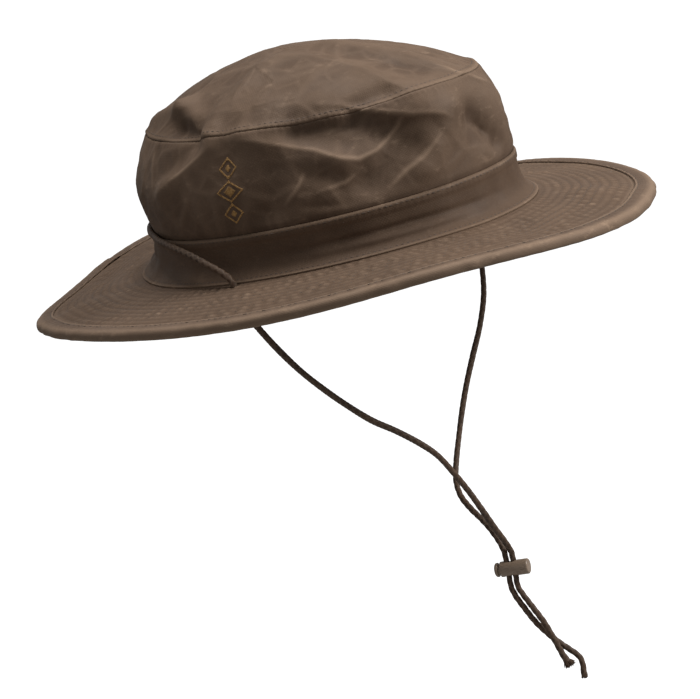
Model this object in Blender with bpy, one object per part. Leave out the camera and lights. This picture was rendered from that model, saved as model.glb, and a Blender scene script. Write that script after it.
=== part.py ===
"""A soft bush hat of waxed cotton with a wide stitched brim and a chin cord.

Metres, +Z up the crown, +X the front. The origin is the centre of the head opening, where the hat
sits on a head. Angles go round the crown in degrees, from 0 at the front through 90 on the wearer's
left and 180 at the back to 270 on the wearer's right.
"""

import math

import bmesh
import bpy
from mathutils import Matrix, Vector
from mathutils.geometry import intersect_point_line

# Driving sizes of the hat
HEAD_LENGTH = 0.202          # inside of the band, front to back
HEAD_WIDTH = 0.169           # inside of the band, side to side
CLOTH = 0.0015               # one wall of the crown with its seam allowance
BRIM_PLY = 0.0026            # the brim's two plies and the stiffener stitched between them
BRIM_WIDTH = 0.0632          # from the outside of the band to the hat's outer edge
BRIM_DROP = 0.0076           # mean fall of the brim's edge below the opening
BRIM_RISE = 0.0020           # mean height of the brim where the crown is sewn to it
BAND_HEIGHT = 0.0225         # band seam above the opening
FLARE = 0.0070               # how far the band's foot spreads on the brim
SIDE_HEIGHT = 0.0475         # side panel, from the band seam to the tip seam
TIP_RISE = 0.0255            # dome of the tip above its seam
TAPER = 0.0107               # how far the tip seam stands inside the band
BALLOON = 0.0059             # how far the side panel swells between its seams
CORD_PINCH = 0.0065          # how far the cord draws the back of the band in
FOLD_DEPTH = 0.0100          # the deepest dent in the crown
BRIM_FOLD = 0.0030           # the highest crease in the brim
GAP = 0.0003                 # clearance between pieces that touch

# The bound edge of the brim
BINDING_WIDTH = 0.0095
BINDING_FLAP = 0.0009
BINDING_NOSE = 0.0018        # roll of the binding beyond the brim's plies

# The cord, its holes and the cord lock
CORD = 0.0032
HOLE_CLEARANCE = 0.0009
HOLE_SETBACK = 0.0026        # from the band's foot to the middle of the hole
HOLE_FORWARD = 0.0090
LOCK_DIAMETER = 0.0080
LOCK_WALL = 0.0010
BARREL_LENGTH = 0.0150
BARREL_END = 0.0015
BUTTON_THICKNESS = 0.0018
BUTTON_DIAMETER = 0.0074
BUTTON_STROKE = 0.0010
LOCK_REST_GAP = 0.0012
LOCK_CORNER = 0.0007
LOCK_PLACE = (0.0559, -0.0030, -0.1849)
LOCK_AXIS = (0.949, 0.315, -0.004)
LOCK_THROUGH = (0.075, -0.238, -0.968)

# Stations round the hat and rows up each panel
AROUND = 72
SIDE_ROWS = 8
TIP_ROWS = 7
LOCK_SIDES = 16

OUTER_X = HEAD_LENGTH / 2 + CLOTH
OUTER_Y = HEAD_WIDTH / 2 + CLOTH
FOOT = CLOTH + GAP           # lift of the band's foot over the brim

# Waves that go round the hat. Columns: waves in one turn, share along front and back,
# share along left and right. A share is of the named size that the table belongs to.
EDGE_WAVES = (               # of BRIM_DROP
    (1, -0.24, -0.60),
    (2, 0.04, -0.25),
    (3, -0.30, 0.14),
    (4, 0.00, -0.43),
    (5, 0.04, 0.20),
    (6, -0.10, 0.00),
)
RISE_WAVES = (               # of BRIM_RISE
    (1, -0.80, -0.35),
    (2, 0.12, -0.60),
)
TIP_SEAM_WAVES = (           # of SIDE_HEIGHT
    (1, -0.075, 0.007),
    (2, 0.003, -0.040),
)
TAPER_WAVES = (              # of TAPER
    (1, -0.38, -0.35),
    (2, 0.08, 0.11),
)
BALLOON_WAVES = (            # of BALLOON
    (1, -0.60, 0.32),
    (2, -0.06, 0.18),
)

# The band from its foot to its seam. Columns: share of FLARE, share of BAND_HEIGHT.
BAND_PROFILE = (
    (1.00, 0.00),
    (0.76, 0.04),
    (0.40, 0.16),
    (0.12, 0.42),
    (0.00, 1.00),
)

# Rows across the brim, as shares of its width from the band outwards.
BRIM_ROWS = (-0.024, 0.11, 0.40, 0.68, 0.85)

# Creases that run across the brim. Columns: angle, half width in degrees, share of BRIM_FOLD,
# share of the brim's width where the crease is highest.
BRIM_CREASES = (
    (231, 6, 0.80, 0.55),
    (18, 7, 1.00, 0.60),
    (346, 8, -0.70, 0.45),
    (318, 9, 0.35, 0.60),
    (196, 8, -0.40, 0.60),
    (132, 9, 0.60, 0.65),
    (70, 9, -0.50, 0.60),
)

# Dents and folds of the crown, each along a line between two places. A height of 0 is the band
# seam, 1 the tip seam and 2 the middle of the tip. Columns: name, angle and height where the line
# starts, angle and height where it ends, half width as a share of SIDE_HEIGHT, and height of the
# fold as a share of FOLD_DEPTH, below zero for a dent.
CROWN_FOLDS = (
    ("hollow under the tip seam", 300, 0.86, 326, 0.70, 0.24, -0.80),
    ("tip seam drawn in", 320, 1.00, 332, 1.04, 0.17, -0.45),
    ("fold below the hollow", 281, 0.96, 311, 0.50, 0.13, 0.38),
    ("fold over the hollow's end", 328, 0.92, 350, 0.74, 0.14, 0.42),
    ("dent under the fold", 300, 0.46, 314, 0.28, 0.17, -0.22),
    ("bulge at the front", 350, 0.95, 10, 0.72, 0.28, 0.24),
    ("crease at the front", 357, 0.58, 6, 0.22, 0.13, -0.26),
    ("dent in front of the motif", 291, 0.55, 288, 0.14, 0.18, -0.24),
    ("slanting dent", 318, 0.22, 332, 0.46, 0.16, -0.28),
    ("slanting fold", 334, 0.24, 346, 0.56, 0.15, 0.20),
    ("streak behind the motif", 270, 0.92, 250, 0.52, 0.13, 0.24),
    ("hollow behind the motif", 258, 0.80, 262, 0.92, 0.18, -0.30),
    ("fold over the cord", 222, 0.20, 206, 0.52, 0.17, 0.30),
    ("dent at the back", 196, 0.80, 176, 0.62, 0.22, -0.34),
    ("fold at the back", 172, 0.30, 150, 0.66, 0.17, 0.28),
    ("dent on the left", 128, 0.78, 104, 0.62, 0.24, -0.40),
    ("fold on the left", 92, 0.90, 62, 0.44, 0.15, 0.30),
    ("dent at the left front", 42, 0.66, 30, 0.36, 0.20, -0.26),
    ("three cornered dent", 248, 1.10, 262, 1.06, 0.15, -0.52),
    ("ridge of the back lobe", 214, 1.12, 240, 1.28, 0.14, 0.30),
    ("ridge beside the dent", 242, 1.26, 266, 1.05, 0.13, 0.34),
    ("long ridge of the tip", 269, 1.10, 292, 1.62, 0.14, 0.18),
    ("arched ridge", 304, 1.73, 334, 1.56, 0.14, 0.16),
    ("arched ridge, lower half", 338, 1.45, 338, 1.08, 0.14, 0.20),
    ("ridge of the front", 8, 1.66, 6, 1.10, 0.14, 0.26),
    ("soft hollow of the tip", 306, 1.28, 320, 1.14, 0.36, -0.30),
    ("hollow behind the front ridge", 350, 1.52, 356, 1.14, 0.24, -0.26),
    ("hollow of the far side", 120, 1.34, 80, 1.22, 0.34, -0.30),
    ("ridge of the far side", 140, 1.12, 100, 1.50, 0.15, 0.18),
)

# The cord's route, in millimetres, chosen by hand. The first stretch runs from the underside of
# the right hole, round the back of the crown and down through the left hole.
CORD_BACK_ROUTE = (
    (9.0, -95.6, -1.2), (9.0, -95.6, 2.6), (7.6, -95.4, 5.8), (4.0, -95.0, 8.8),
    (-1.2, -94.3, 11.8), (-7.8, -93.0, 14.8), (-16.4, -90.7, 18.0), (-27.0, -87.0, 20.8),
    (-38.6, -82.0, 22.8), (-50.6, -75.6, 23.8), (-61.4, -67.9, 24.2), (-70.5, -60.8, 24.4),
    (-79.0, -52.1, 24.4), (-86.3, -42.0, 24.4), (-91.8, -31.5, 24.4), (-95.7, -21.0, 24.4),
    (-98.0, -10.4, 24.4), (-98.9, 0.2, 24.4), (-98.2, 10.8, 24.4), (-96.0, 21.4, 24.4),
    (-92.1, 31.9, 24.4), (-86.7, 42.3, 24.4), (-79.3, 52.2, 24.4), (-70.2, 61.6, 24.2),
    (-59.6, 70.2, 23.8), (-48.0, 77.4, 22.6), (-36.0, 83.0, 20.8), (-24.5, 87.2, 18.2),
    (-14.0, 90.4, 15.0), (-5.0, 92.9, 11.6), (1.6, 94.3, 8.4), (6.2, 95.2, 5.0),
    (8.6, 95.6, 1.8), (9.0, 95.6, -0.8), (9.0, 95.6, -3.4),
)
CORD_RIGHT_ROUTE = (
    (9.0, -95.6, -1.6), (9.4, -95.5, -8.0), (12.8, -93.2, -17.4), (17.3, -88.0, -31.7),
    (21.8, -81.0, -46.2), (26.4, -73.0, -59.2), (30.6, -64.0, -71.4), (35.4, -55.0, -82.7),
    (41.0, -46.0, -92.0), (46.3, -37.0, -102.4), (49.8, -30.0, -112.0), (51.6, -22.8, -125.0),
    (52.9, -16.6, -137.4), (54.1, -12.2, -148.2), (55.4, -7.6, -160.0), (56.4, -3.6, -169.0),
    (57.0, -1.0, -176.2), (57.3, -1.3, -180.4), (57.6, -2.4, -184.9), (58.0, -3.7, -190.0),
    (58.6, -4.8, -194.4), (60.6, -5.0, -198.8), (63.9, -4.8, -205.2), (68.5, -4.3, -214.6), (72.3, -4.6, -224.3),
    (74.9, -4.6, -232.1), (77.1, -4.2, -237.8),
)
CORD_LEFT_ROUTE = (
    (9.0, 95.6, -3.8), (9.8, 95.5, -11.0), (14.6, 93.2, -24.0), (21.4, 88.0, -41.0),
    (24.7, 79.0, -59.6), (23.4, 70.0, -75.6), (20.2, 60.6, -90.2), (17.9, 51.6, -103.2),
    (16.8, 43.0, -115.4), (16.7, 35.0, -126.2), (17.4, 26.6, -136.4), (19.8, 18.8, -144.2),
    (24.8, 12.6, -150.6), (32.0, 8.2, -155.8), (39.2, 5.2, -160.6), (45.0, 3.0, -165.6),
    (50.0, 0.8, -171.4), (53.0, -1.2, -176.4), (53.8, -2.5, -180.4), (54.2, -3.6, -184.9),
    (54.6, -4.8, -190.0), (55.2, -5.9, -194.4), (57.0, -6.4, -199.2), (59.7, -6.2, -204.8), (63.4, -4.4, -214.2), (67.8, -2.0, -222.2),
    (72.1, -0.2, -228.1), (76.5, 1.1, -232.5), (79.9, 1.7, -236.0), (81.4, 1.2, -239.4),
    (81.8, 0.1, -242.8), (82.1, -1.0, -246.5),
)
ROUTE_UNIT = 0.001
CORD_POINT_SPACING = 2.0     # diameters of cord between points of its tube

# Colours are linear values read by eye from the cloth, the cord and the lock.
CLOTH_COLOUR = (0.118, 0.080, 0.053, 1.0)
BINDING_COLOUR = (0.128, 0.088, 0.060, 1.0)
CORD_COLOUR = (0.045, 0.028, 0.019, 1.0)
LOCK_COLOUR = (0.200, 0.148, 0.108, 1.0)


def clear_scene():
    for item in list(bpy.data.objects):
        bpy.data.objects.remove(item, do_unlink=True)


def material(name, colour, roughness, metallic=0.0):
    made = bpy.data.materials.new(name)
    made.use_nodes = True
    shader = made.node_tree.nodes["Principled BSDF"]
    shader.inputs["Base Color"].default_value = colour
    shader.inputs["Roughness"].default_value = roughness
    shader.inputs["Metallic"].default_value = metallic
    return made


def waves(size, mean, table, angle):
    """A size that goes up and down round the hat: its mean share and its table of waves."""
    share = mean
    for turns, along, across in table:
        share += along * math.cos(turns * angle) + across * math.sin(turns * angle)
    return size * share


def on_oval(offset, angle, height):
    """A place at an offset outwards from the band's outside."""
    return Vector(((OUTER_X + offset) * math.cos(angle), (OUTER_Y + offset) * math.sin(angle), height))


def bump(distance, half_width):
    return math.exp(-((distance / half_width) ** 2))


def turn_between(angle, other):
    """The shorter way round from one angle to another, in degrees."""
    return (math.degrees(angle) - other + 180) % 360 - 180


def back_pinch(angle):
    """How far the chin cord draws the back of the crown in at the band seam."""
    return CORD_PINCH * bump(turn_between(angle, 182), 62)


# Brim

def brim_middle(angle, share):
    """Height of the middle of the brim's plies at a share of its width."""
    inner = waves(BRIM_RISE, 1.0, RISE_WAVES, angle) - BRIM_PLY / 2
    outer = waves(BRIM_DROP, -1.0, EDGE_WAVES, angle)
    reach = max(share, 0.0)
    height = inner + (outer - inner) * reach ** 1.25
    for crease_angle, half_width, height_share, peak in BRIM_CREASES:
        across = bump(turn_between(angle, crease_angle), half_width)
        along = bump(share - peak, 0.30) * min(1.0, reach / 0.2)
        height += BRIM_FOLD * height_share * across * along
    return height


def brim_place(angle, share, lift=0.0):
    return on_oval(BRIM_WIDTH * share, angle, brim_middle(angle, share) + lift)


# Crown

def band_place(angle, row):
    flare_share, height_share = BAND_PROFILE[row]
    pinch = back_pinch(angle) * (0.35 + 0.65 * height_share)
    foot = brim_middle(angle, FLARE / BRIM_WIDTH) + BRIM_PLY / 2 + FOOT
    height = foot + (band_seam_height(angle) - foot) * height_share
    return on_oval(FLARE * flare_share - pinch, angle, height)


def band_seam_height(angle):
    return BAND_HEIGHT + waves(BRIM_RISE, 1.0, RISE_WAVES, angle) / 2


def tip_seam_height(angle):
    return BAND_HEIGHT + SIDE_HEIGHT + waves(SIDE_HEIGHT, 0.0, TIP_SEAM_WAVES, angle)


def smooth_side(angle, up):
    """The side panel without its folds, from the band seam at 0 to the tip seam at 1."""
    taper = waves(TAPER, 1.0, TAPER_WAVES, angle)
    swell = waves(BALLOON, 1.0, BALLOON_WAVES, angle) * math.sin(math.pi * up)
    offset = swell - taper * up - back_pinch(angle) * (1 - up)
    low = band_seam_height(angle)
    return on_oval(offset, angle, low + (tip_seam_height(angle) - low) * up)


def smooth_tip(angle, up):
    """The tip without its folds, from its seam at 0 to the middle of the crown at 1."""
    out = 1 - up
    taper = waves(TAPER, 1.0, TAPER_WAVES, angle)
    seam = on_oval(-taper, angle, 0)
    middle = Vector((-0.35 * TAPER, -0.27 * TAPER, 0))
    place = seam * out + middle * (1 - out ** 2)
    seam_height = tip_seam_height(angle) * out ** 2 + (BAND_HEIGHT + SIDE_HEIGHT) * (1 - out ** 2)
    place.z = seam_height + TIP_RISE * (1 - out ** 1.86)
    return place


def smooth_crown(angle, up):
    return smooth_side(angle, up) if up <= 1 else smooth_tip(angle, up - 1)


def fold_lines():
    """Each fold's two end places, half width and height."""
    lines = []
    for _, angle_a, up_a, angle_b, up_b, width, height in CROWN_FOLDS:
        start = smooth_crown(math.radians(angle_a), up_a)
        end = smooth_crown(math.radians(angle_b), up_b)
        lines.append((start, end, width * SIDE_HEIGHT, height * FOLD_DEPTH))
    return lines


def folded(place, lines, hold):
    """A place of the smooth crown, moved in or out by the folds near it."""
    centre = Vector((0, 0, BAND_HEIGHT + SIDE_HEIGHT * 0.25))
    outwards = (place - centre).normalized()
    move = 0.0
    for start, end, half_width, height in lines:
        nearest, along = intersect_point_line(place, start, end)
        nearest = start.lerp(end, min(1.0, max(0.0, along)))
        move += height * bump((place - nearest).length, half_width)
    return place + outwards * move * hold


# Sheets of cloth

def sheet(name, rows, place, thickness, offset, finish, parent):
    """A sheet of cloth bent round the hat: a grid whose places are worked out, then its thickness."""
    mesh = bpy.data.meshes.new(name)
    cloth = bmesh.new()
    bmesh.ops.create_grid(cloth, x_segments=AROUND, y_segments=rows, size=1.0)
    for vertex in cloth.verts:
        angle = math.pi * (vertex.co.x + 1)
        row = round((vertex.co.y + 1) / 2 * rows)
        vertex.co = place(angle % (2 * math.pi), row)
    bmesh.ops.remove_doubles(cloth, verts=cloth.verts, dist=1e-6)
    cloth.to_mesh(mesh)
    cloth.free()
    made = add_object(name, mesh, finish, parent)
    wall = made.modifiers.new("wall", "SOLIDIFY")
    wall.thickness = thickness
    wall.offset = offset
    return made


def add_object(name, data, finish, parent):
    made = bpy.data.objects.new(name, data)
    bpy.context.collection.objects.link(made)
    data.materials.append(finish)
    made.parent = parent
    if made.type == "MESH":
        for face in data.polygons:
            face.use_smooth = True
    return made


def build_crown(finish, parent):
    lines = fold_lines()

    def side_place(angle, row):
        up = row / SIDE_ROWS
        place = smooth_side(angle, up) + Vector((0, 0, GAP * 2 * (1 - up)))
        return folded(place, lines, min(1.0, up / 0.2))

    def tip_place(angle, row):
        up = (row / TIP_ROWS) ** 1.15
        place = smooth_tip(angle, up)
        return folded(place, lines, 1.0) + Vector((0, 0, CLOTH * 1.1 + GAP))

    sheet("crown_band", len(BAND_PROFILE) - 1, band_place, CLOTH, -1, finish, parent)
    sheet("crown_side", SIDE_ROWS, side_place, CLOTH, -1, finish, parent)
    sheet("crown_tip", TIP_ROWS, tip_place, CLOTH, -1, finish, parent)


def hole_place(side):
    return Vector((HOLE_FORWARD, side * (OUTER_Y + FLARE + HOLE_SETBACK), 0))


def build_brim(finish, parent):
    rows = BRIM_ROWS + (1 - BINDING_NOSE / BRIM_WIDTH,)
    brim = sheet(
        "brim",
        len(rows) - 1,
        lambda angle, row: brim_place(angle, rows[len(rows) - 1 - row]),
        BRIM_PLY,
        0,
        finish,
        parent,
    )
    for side, word in ((-1, "right"), (1, "left")):
        punch = cylinder_cutter("cord_hole_" + word, CORD / 2 + HOLE_CLEARANCE, BAND_HEIGHT * 2)
        punch.location = hole_place(side)
        cut(brim, punch)


def build_binding(finish, parent):
    """The folded strip, as one section swept round the edge."""
    slot = BRIM_PLY / 2 + GAP
    flap = slot + BINDING_FLAP
    slot_end = BINDING_NOSE / 2
    half = (
        (0.0, 0.0),
        (BINDING_NOSE * 0.45, flap * 0.80),
        (BINDING_NOSE * 1.60, flap * 1.06),
        (BINDING_WIDTH, flap * 0.94),
        (BINDING_WIDTH, slot),
        (slot_end, slot),
    )
    section = [*half, *((inset, -height) for inset, height in reversed(half[1:]))]
    mesh = bpy.data.meshes.new("edge_binding")
    strip = bmesh.new()
    rings = []
    for step in range(AROUND):
        angle = 2 * math.pi * step / AROUND
        ring = [
            strip.verts.new(brim_place(angle, 1 - inset / BRIM_WIDTH, height))
            for inset, height in section
        ]
        rings.append(ring)
    for step, ring in enumerate(rings):
        onward = rings[(step + 1) % AROUND]
        for index, corner in enumerate(ring):
            follow = (index + 1) % len(ring)
            strip.faces.new((corner, onward[index], onward[follow], ring[follow]))
    bmesh.ops.recalc_face_normals(strip, faces=strip.faces)
    strip.to_mesh(mesh)
    strip.free()
    add_object("edge_binding", mesh, finish, parent)


# Cutters

def cylinder_cutter(name, radius, length):
    mesh = bpy.data.meshes.new(name)
    body = bmesh.new()
    bmesh.ops.create_cone(
        body, cap_ends=True, segments=16, radius1=radius, radius2=radius, depth=length
    )
    body.to_mesh(mesh)
    body.free()
    return hidden(name, mesh)


def hidden(name, mesh):
    cutter = bpy.data.objects.new(name, mesh)
    bpy.context.collection.objects.link(cutter)
    cutter.hide_render = True
    cutter.display_type = "WIRE"
    return cutter


def cut(target, cutter):
    tool = target.modifiers.new(cutter.name, "BOOLEAN")
    tool.operation = "DIFFERENCE"
    tool.object = cutter


# Chin cord

def smooth_route(points):
    """Points read from one smooth curve through the route, a few diameters apart."""
    route = [Vector(point) * ROUTE_UNIT for point in points]
    ends = [route[0] * 2 - route[1], *route, route[-1] * 2 - route[-2]]
    fine = []
    for index in range(len(route) - 1):
        before, start, end, after = ends[index:index + 4]
        for step in range(12):
            t = step / 12
            fine.append(
                0.5 * (
                    2 * start + (end - before) * t
                    + (2 * before - 5 * start + 4 * end - after) * t ** 2
                    + (3 * start - before - 3 * end + after) * t ** 3
                )
            )
    fine.append(route[-1])
    total = sum((b - a).length for a, b in zip(fine, fine[1:]))
    count = max(2, round(total / (CORD * CORD_POINT_SPACING)))
    spaced, walked = [fine[0]], 0.0
    for a, b in zip(fine, fine[1:]):
        step = (b - a).length
        while len(spaced) < count and walked + step >= total * len(spaced) / count:
            share = (total * len(spaced) / count - walked) / step
            spaced.append(a.lerp(b, share))
        walked += step
    return [*spaced, fine[-1]]


def build_cord(name, points, finish, parent):
    curve = bpy.data.curves.new(name, "CURVE")
    curve.dimensions = "3D"
    curve.bevel_depth = CORD / 2
    curve.bevel_resolution = 2
    curve.use_fill_caps = True
    places = smooth_route(points)
    line = curve.splines.new("POLY")
    line.points.add(len(places) - 1)
    for point, place in zip(line.points, places):
        point.co = (*place, 1.0)
    add_object(name, curve, finish, parent)


# Cord lock. Its own frame has +X along the barrel, away from the button, and +Z the way that the
# cords go through it. The slot is in the middle of that frame.

def lock_frame():
    along = Vector(LOCK_AXIS).normalized()
    through = Vector(LOCK_THROUGH)
    through = (through - along * through.dot(along)).normalized()
    across = through.cross(along)
    turn = Matrix((along, across, through)).transposed().to_4x4()
    return Matrix.Translation(LOCK_PLACE) @ turn


def turned(name, profile, finish, parent):
    """A solid of revolution about X from a profile of places along the axis and radii."""
    mesh = bpy.data.meshes.new(name)
    body = bmesh.new()
    corners = [body.verts.new((along, radius, 0)) for along, radius in profile]
    edges = [body.edges.new(pair) for pair in zip(corners, corners[1:])]
    bmesh.ops.spin(
        body, geom=corners + edges, axis=(1, 0, 0), cent=(0, 0, 0),
        steps=LOCK_SIDES, angle=2 * math.pi, use_merge=True,
    )
    bmesh.ops.remove_doubles(body, verts=body.verts, dist=1e-6)
    bmesh.ops.recalc_face_normals(body, faces=body.faces)
    body.to_mesh(mesh)
    body.free()
    return add_object(name, mesh, finish, parent)


def slot_cutter(name, start, end, width, parent):
    """A flat slot through the lock with rounded ends."""
    mesh = bpy.data.meshes.new(name)
    body = bmesh.new()
    radius = width / 2
    turns = 6
    outline = []
    for centre, first in ((end - radius, -90), (start + radius, 90)):
        for step in range(turns + 1):
            angle = math.radians(first + 180 * step / turns)
            outline.append((centre + radius * math.cos(angle), radius * math.sin(angle)))
    floor = [body.verts.new((x, y, -LOCK_DIAMETER)) for x, y in outline]
    face = body.faces.new(floor)
    raised = bmesh.ops.extrude_face_region(body, geom=[face])["geom"]
    corners = [item for item in raised if isinstance(item, bmesh.types.BMVert)]
    bmesh.ops.translate(body, verts=corners, vec=(0, 0, LOCK_DIAMETER * 2))
    bmesh.ops.recalc_face_normals(body, faces=body.faces)
    body.to_mesh(mesh)
    body.free()
    cutter = hidden(name, mesh)
    cutter.parent = parent
    return cutter


def build_lock(finish, parent):
    frame = bpy.data.objects.new("lock_frame", None)
    bpy.context.collection.objects.link(frame)
    frame.parent = parent
    frame.matrix_world = lock_frame()

    slot_half = CORD + GAP * 2
    slot_width = CORD + GAP * 2
    barrel_start = -slot_half - LOCK_WALL * 1.5
    barrel_end = barrel_start + BARREL_LENGTH
    outer = LOCK_DIAMETER / 2
    bore = outer - LOCK_WALL
    floor = barrel_end - BARREL_END
    barrel = turned(
        "lock_barrel",
        (
            (floor, 0), (floor, bore), (barrel_start, bore),
            (barrel_start, outer - LOCK_CORNER / 2), (barrel_start + LOCK_CORNER / 2, outer),
            (barrel_end - LOCK_CORNER, outer), (barrel_end, outer - LOCK_CORNER), (barrel_end, 0),
        ),
        finish,
        frame,
    )
    cut(barrel, slot_cutter("barrel_slot", -slot_half, slot_half, slot_width, frame))

    stem = bore - GAP
    stem_end = floor - BUTTON_STROKE - LOCK_WALL
    button_face = barrel_start - LOCK_REST_GAP
    button_end = button_face - BUTTON_THICKNESS
    rim = BUTTON_DIAMETER / 2
    button = turned(
        "lock_button",
        (
            (stem_end, 0), (stem_end, stem), (button_face, stem), (button_face, rim),
            (button_end + LOCK_CORNER, rim), (button_end, rim - LOCK_CORNER * 1.4), (button_end, 0),
        ),
        finish,
        frame,
    )
    cut(button, slot_cutter("button_slot", -slot_half - BUTTON_STROKE, slot_half, slot_width, frame))


def main():
    clear_scene()
    hat = bpy.data.objects.new("hat", None)
    bpy.context.collection.objects.link(hat)
    cloth = material("waxed_cotton", CLOTH_COLOUR, 0.75)
    edge = material("waxed_binding", BINDING_COLOUR, 0.7)
    leather = material("cord_leather", CORD_COLOUR, 0.65)
    horn = material("lock_plastic", LOCK_COLOUR, 0.4)
    build_crown(cloth, hat)
    build_brim(cloth, hat)
    build_binding(edge, hat)
    build_cord("chin_cord_back", CORD_BACK_ROUTE, leather, hat)
    build_cord("chin_cord_right", CORD_RIGHT_ROUTE, leather, hat)
    build_cord("chin_cord_left", CORD_LEFT_ROUTE, leather, hat)
    build_lock(horn, hat)


main()
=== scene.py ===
# %% [markdown]
# # A waxed bush hat, dressed in Blender
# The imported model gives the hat's main forms in metres: a band, a side panel and a tip make the
# crown, and a brim, a bound edge, a chin cord and a cord lock go with them. This lesson dresses
# those forms with cloth that creases, rows of stitches, a plaited cord and a worn wax finish.
# Every new piece is made in the same frame, so nothing has to be fitted afterwards.

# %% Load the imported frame
import math

import bmesh
import bpy
import numpy as np
from mathutils import Matrix, Vector


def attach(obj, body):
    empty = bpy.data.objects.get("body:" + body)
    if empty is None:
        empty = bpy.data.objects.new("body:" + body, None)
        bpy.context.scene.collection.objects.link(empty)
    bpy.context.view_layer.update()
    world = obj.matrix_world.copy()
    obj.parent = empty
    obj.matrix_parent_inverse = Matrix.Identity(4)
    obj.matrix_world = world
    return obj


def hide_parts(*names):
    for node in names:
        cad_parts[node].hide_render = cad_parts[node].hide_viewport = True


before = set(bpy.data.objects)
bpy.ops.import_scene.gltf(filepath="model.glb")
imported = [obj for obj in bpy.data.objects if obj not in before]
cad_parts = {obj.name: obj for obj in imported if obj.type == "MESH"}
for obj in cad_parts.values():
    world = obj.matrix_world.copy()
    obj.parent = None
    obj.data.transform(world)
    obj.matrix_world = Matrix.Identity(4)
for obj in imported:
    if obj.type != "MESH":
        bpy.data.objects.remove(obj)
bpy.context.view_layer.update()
scene = bpy.context.scene
print("CAD nodes:", sorted(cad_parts))

# %% [markdown]
# ## The camera
# The photograph was taken from the wearer's right and a little above, with the hat tipped. Its
# place was worked out from the ellipse of the brim, the seams and the cord's holes. A camera could
# be aimed with a Track To constraint, but a matrix built from three axes holds its roll as well.

# %% Camera
PICTURE_WIDTH = 700
VIEW_AZIMUTH = math.radians(39.0)
VIEW_ELEVATION = math.radians(13.5)
VIEW_ROLL = math.radians(-15.246)
VIEW_DISTANCE = 1.100
PIXELS_PER_METRE = 1974.0
FRAME_RIGHT = 0.007579
FRAME_UP = -0.059538

back_axis = Vector((
    math.sin(VIEW_AZIMUTH) * math.cos(VIEW_ELEVATION),
    -math.cos(VIEW_AZIMUTH) * math.cos(VIEW_ELEVATION),
    math.sin(VIEW_ELEVATION),
))
level_axis = Vector((math.cos(VIEW_AZIMUTH), math.sin(VIEW_AZIMUTH), 0))
upright_axis = back_axis.cross(level_axis)
right_axis = level_axis * math.cos(VIEW_ROLL) + upright_axis * math.sin(VIEW_ROLL)
up_axis = back_axis.cross(right_axis)
camera_data = bpy.data.cameras.new("photo_camera")
camera_data.sensor_width = 36
camera_data.lens = PIXELS_PER_METRE * VIEW_DISTANCE * camera_data.sensor_width / PICTURE_WIDTH
camera_data.clip_start = 0.05
camera_data.clip_end = 100
camera = bpy.data.objects.new("photo_camera", camera_data)
scene.collection.objects.link(camera)
camera_place = right_axis * FRAME_RIGHT + up_axis * FRAME_UP + back_axis * VIEW_DISTANCE
turn = Matrix((right_axis, up_axis, back_axis)).transposed().to_4x4()
camera.matrix_world = Matrix.Translation(camera_place) @ turn
scene.camera = camera
print("camera in mm:", [round(x * 1000) for x in camera_place], "lens", round(camera_data.lens, 1))

# %% [markdown]
# ## The chin cord's route
# A cord is a fixed length of something flexible, so its route is settled before its looks. One
# stretch lies round the back of the crown, and a tail hangs from each hole to the cord lock. The
# points are the ones that the solids follow, drawn in up to 4 mm more on the right of the back, and
# a smooth curve is read through them.

# %% Cord routes, in millimetres
CORD = 0.0032
CORD_STATION = 0.00045
ROUTE_UNIT = 0.001
STEPS_BETWEEN = 24
CORD_BACK_ROUTE = (
    (9.0, -95.6, -1.2), (9.0, -95.6, 2.6), (7.6, -95.4, 5.8), (4.0, -95.0, 8.8),
    (-1.2, -94.3, 11.8), (-7.8, -93.0, 14.8), (-16.4, -90.4, 18.0), (-26.9, -86.5, 20.8),
    (-38.2, -80.9, 22.8), (-49.7, -73.7, 23.8), (-59.7, -65.2, 24.2), (-68.1, -57.9, 24.4),
    (-76.2, -49.5, 24.4), (-83.8, -40.3, 24.4), (-90.0, -30.6, 24.4), (-94.7, -20.7, 24.4),
    (-97.5, -10.3, 24.4), (-98.7, 0.2, 24.4), (-98.1, 10.8, 24.4), (-96.0, 21.4, 24.4),
    (-92.1, 31.9, 24.4), (-86.7, 42.3, 24.4), (-79.3, 52.2, 24.4), (-70.2, 61.6, 24.2),
    (-59.6, 70.2, 23.8), (-48.0, 77.4, 22.6), (-36.0, 83.0, 20.8), (-24.5, 87.2, 18.2),
    (-14.0, 90.4, 15.0), (-5.0, 92.9, 11.6), (1.6, 94.3, 8.4), (6.2, 95.2, 5.0),
    (8.6, 95.6, 1.8), (9.0, 95.6, -0.8), (9.0, 95.6, -3.4),
)
CORD_RIGHT_ROUTE = (
    (9.0, -95.6, -1.6), (9.4, -95.5, -8.0), (12.8, -93.2, -17.4), (17.3, -88.0, -31.7),
    (21.8, -81.0, -46.2), (26.4, -73.0, -59.2), (30.6, -64.0, -71.4), (35.4, -55.0, -82.7),
    (41.0, -46.0, -92.0), (46.3, -37.0, -102.4), (49.8, -30.0, -112.0), (51.6, -22.8, -125.0),
    (52.9, -16.6, -137.4), (54.1, -12.2, -148.2), (55.4, -7.6, -160.0), (56.4, -3.6, -169.0),
    (57.0, -1.0, -176.2), (57.3, -1.3, -180.4), (57.6, -2.4, -184.9), (58.0, -3.7, -190.0),
    (58.6, -4.8, -194.4), (60.6, -5.0, -198.8), (63.9, -4.8, -205.2), (68.5, -4.3, -214.6),
    (72.3, -4.6, -224.3), (74.9, -4.6, -232.1), (77.1, -4.2, -237.8),
)
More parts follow.
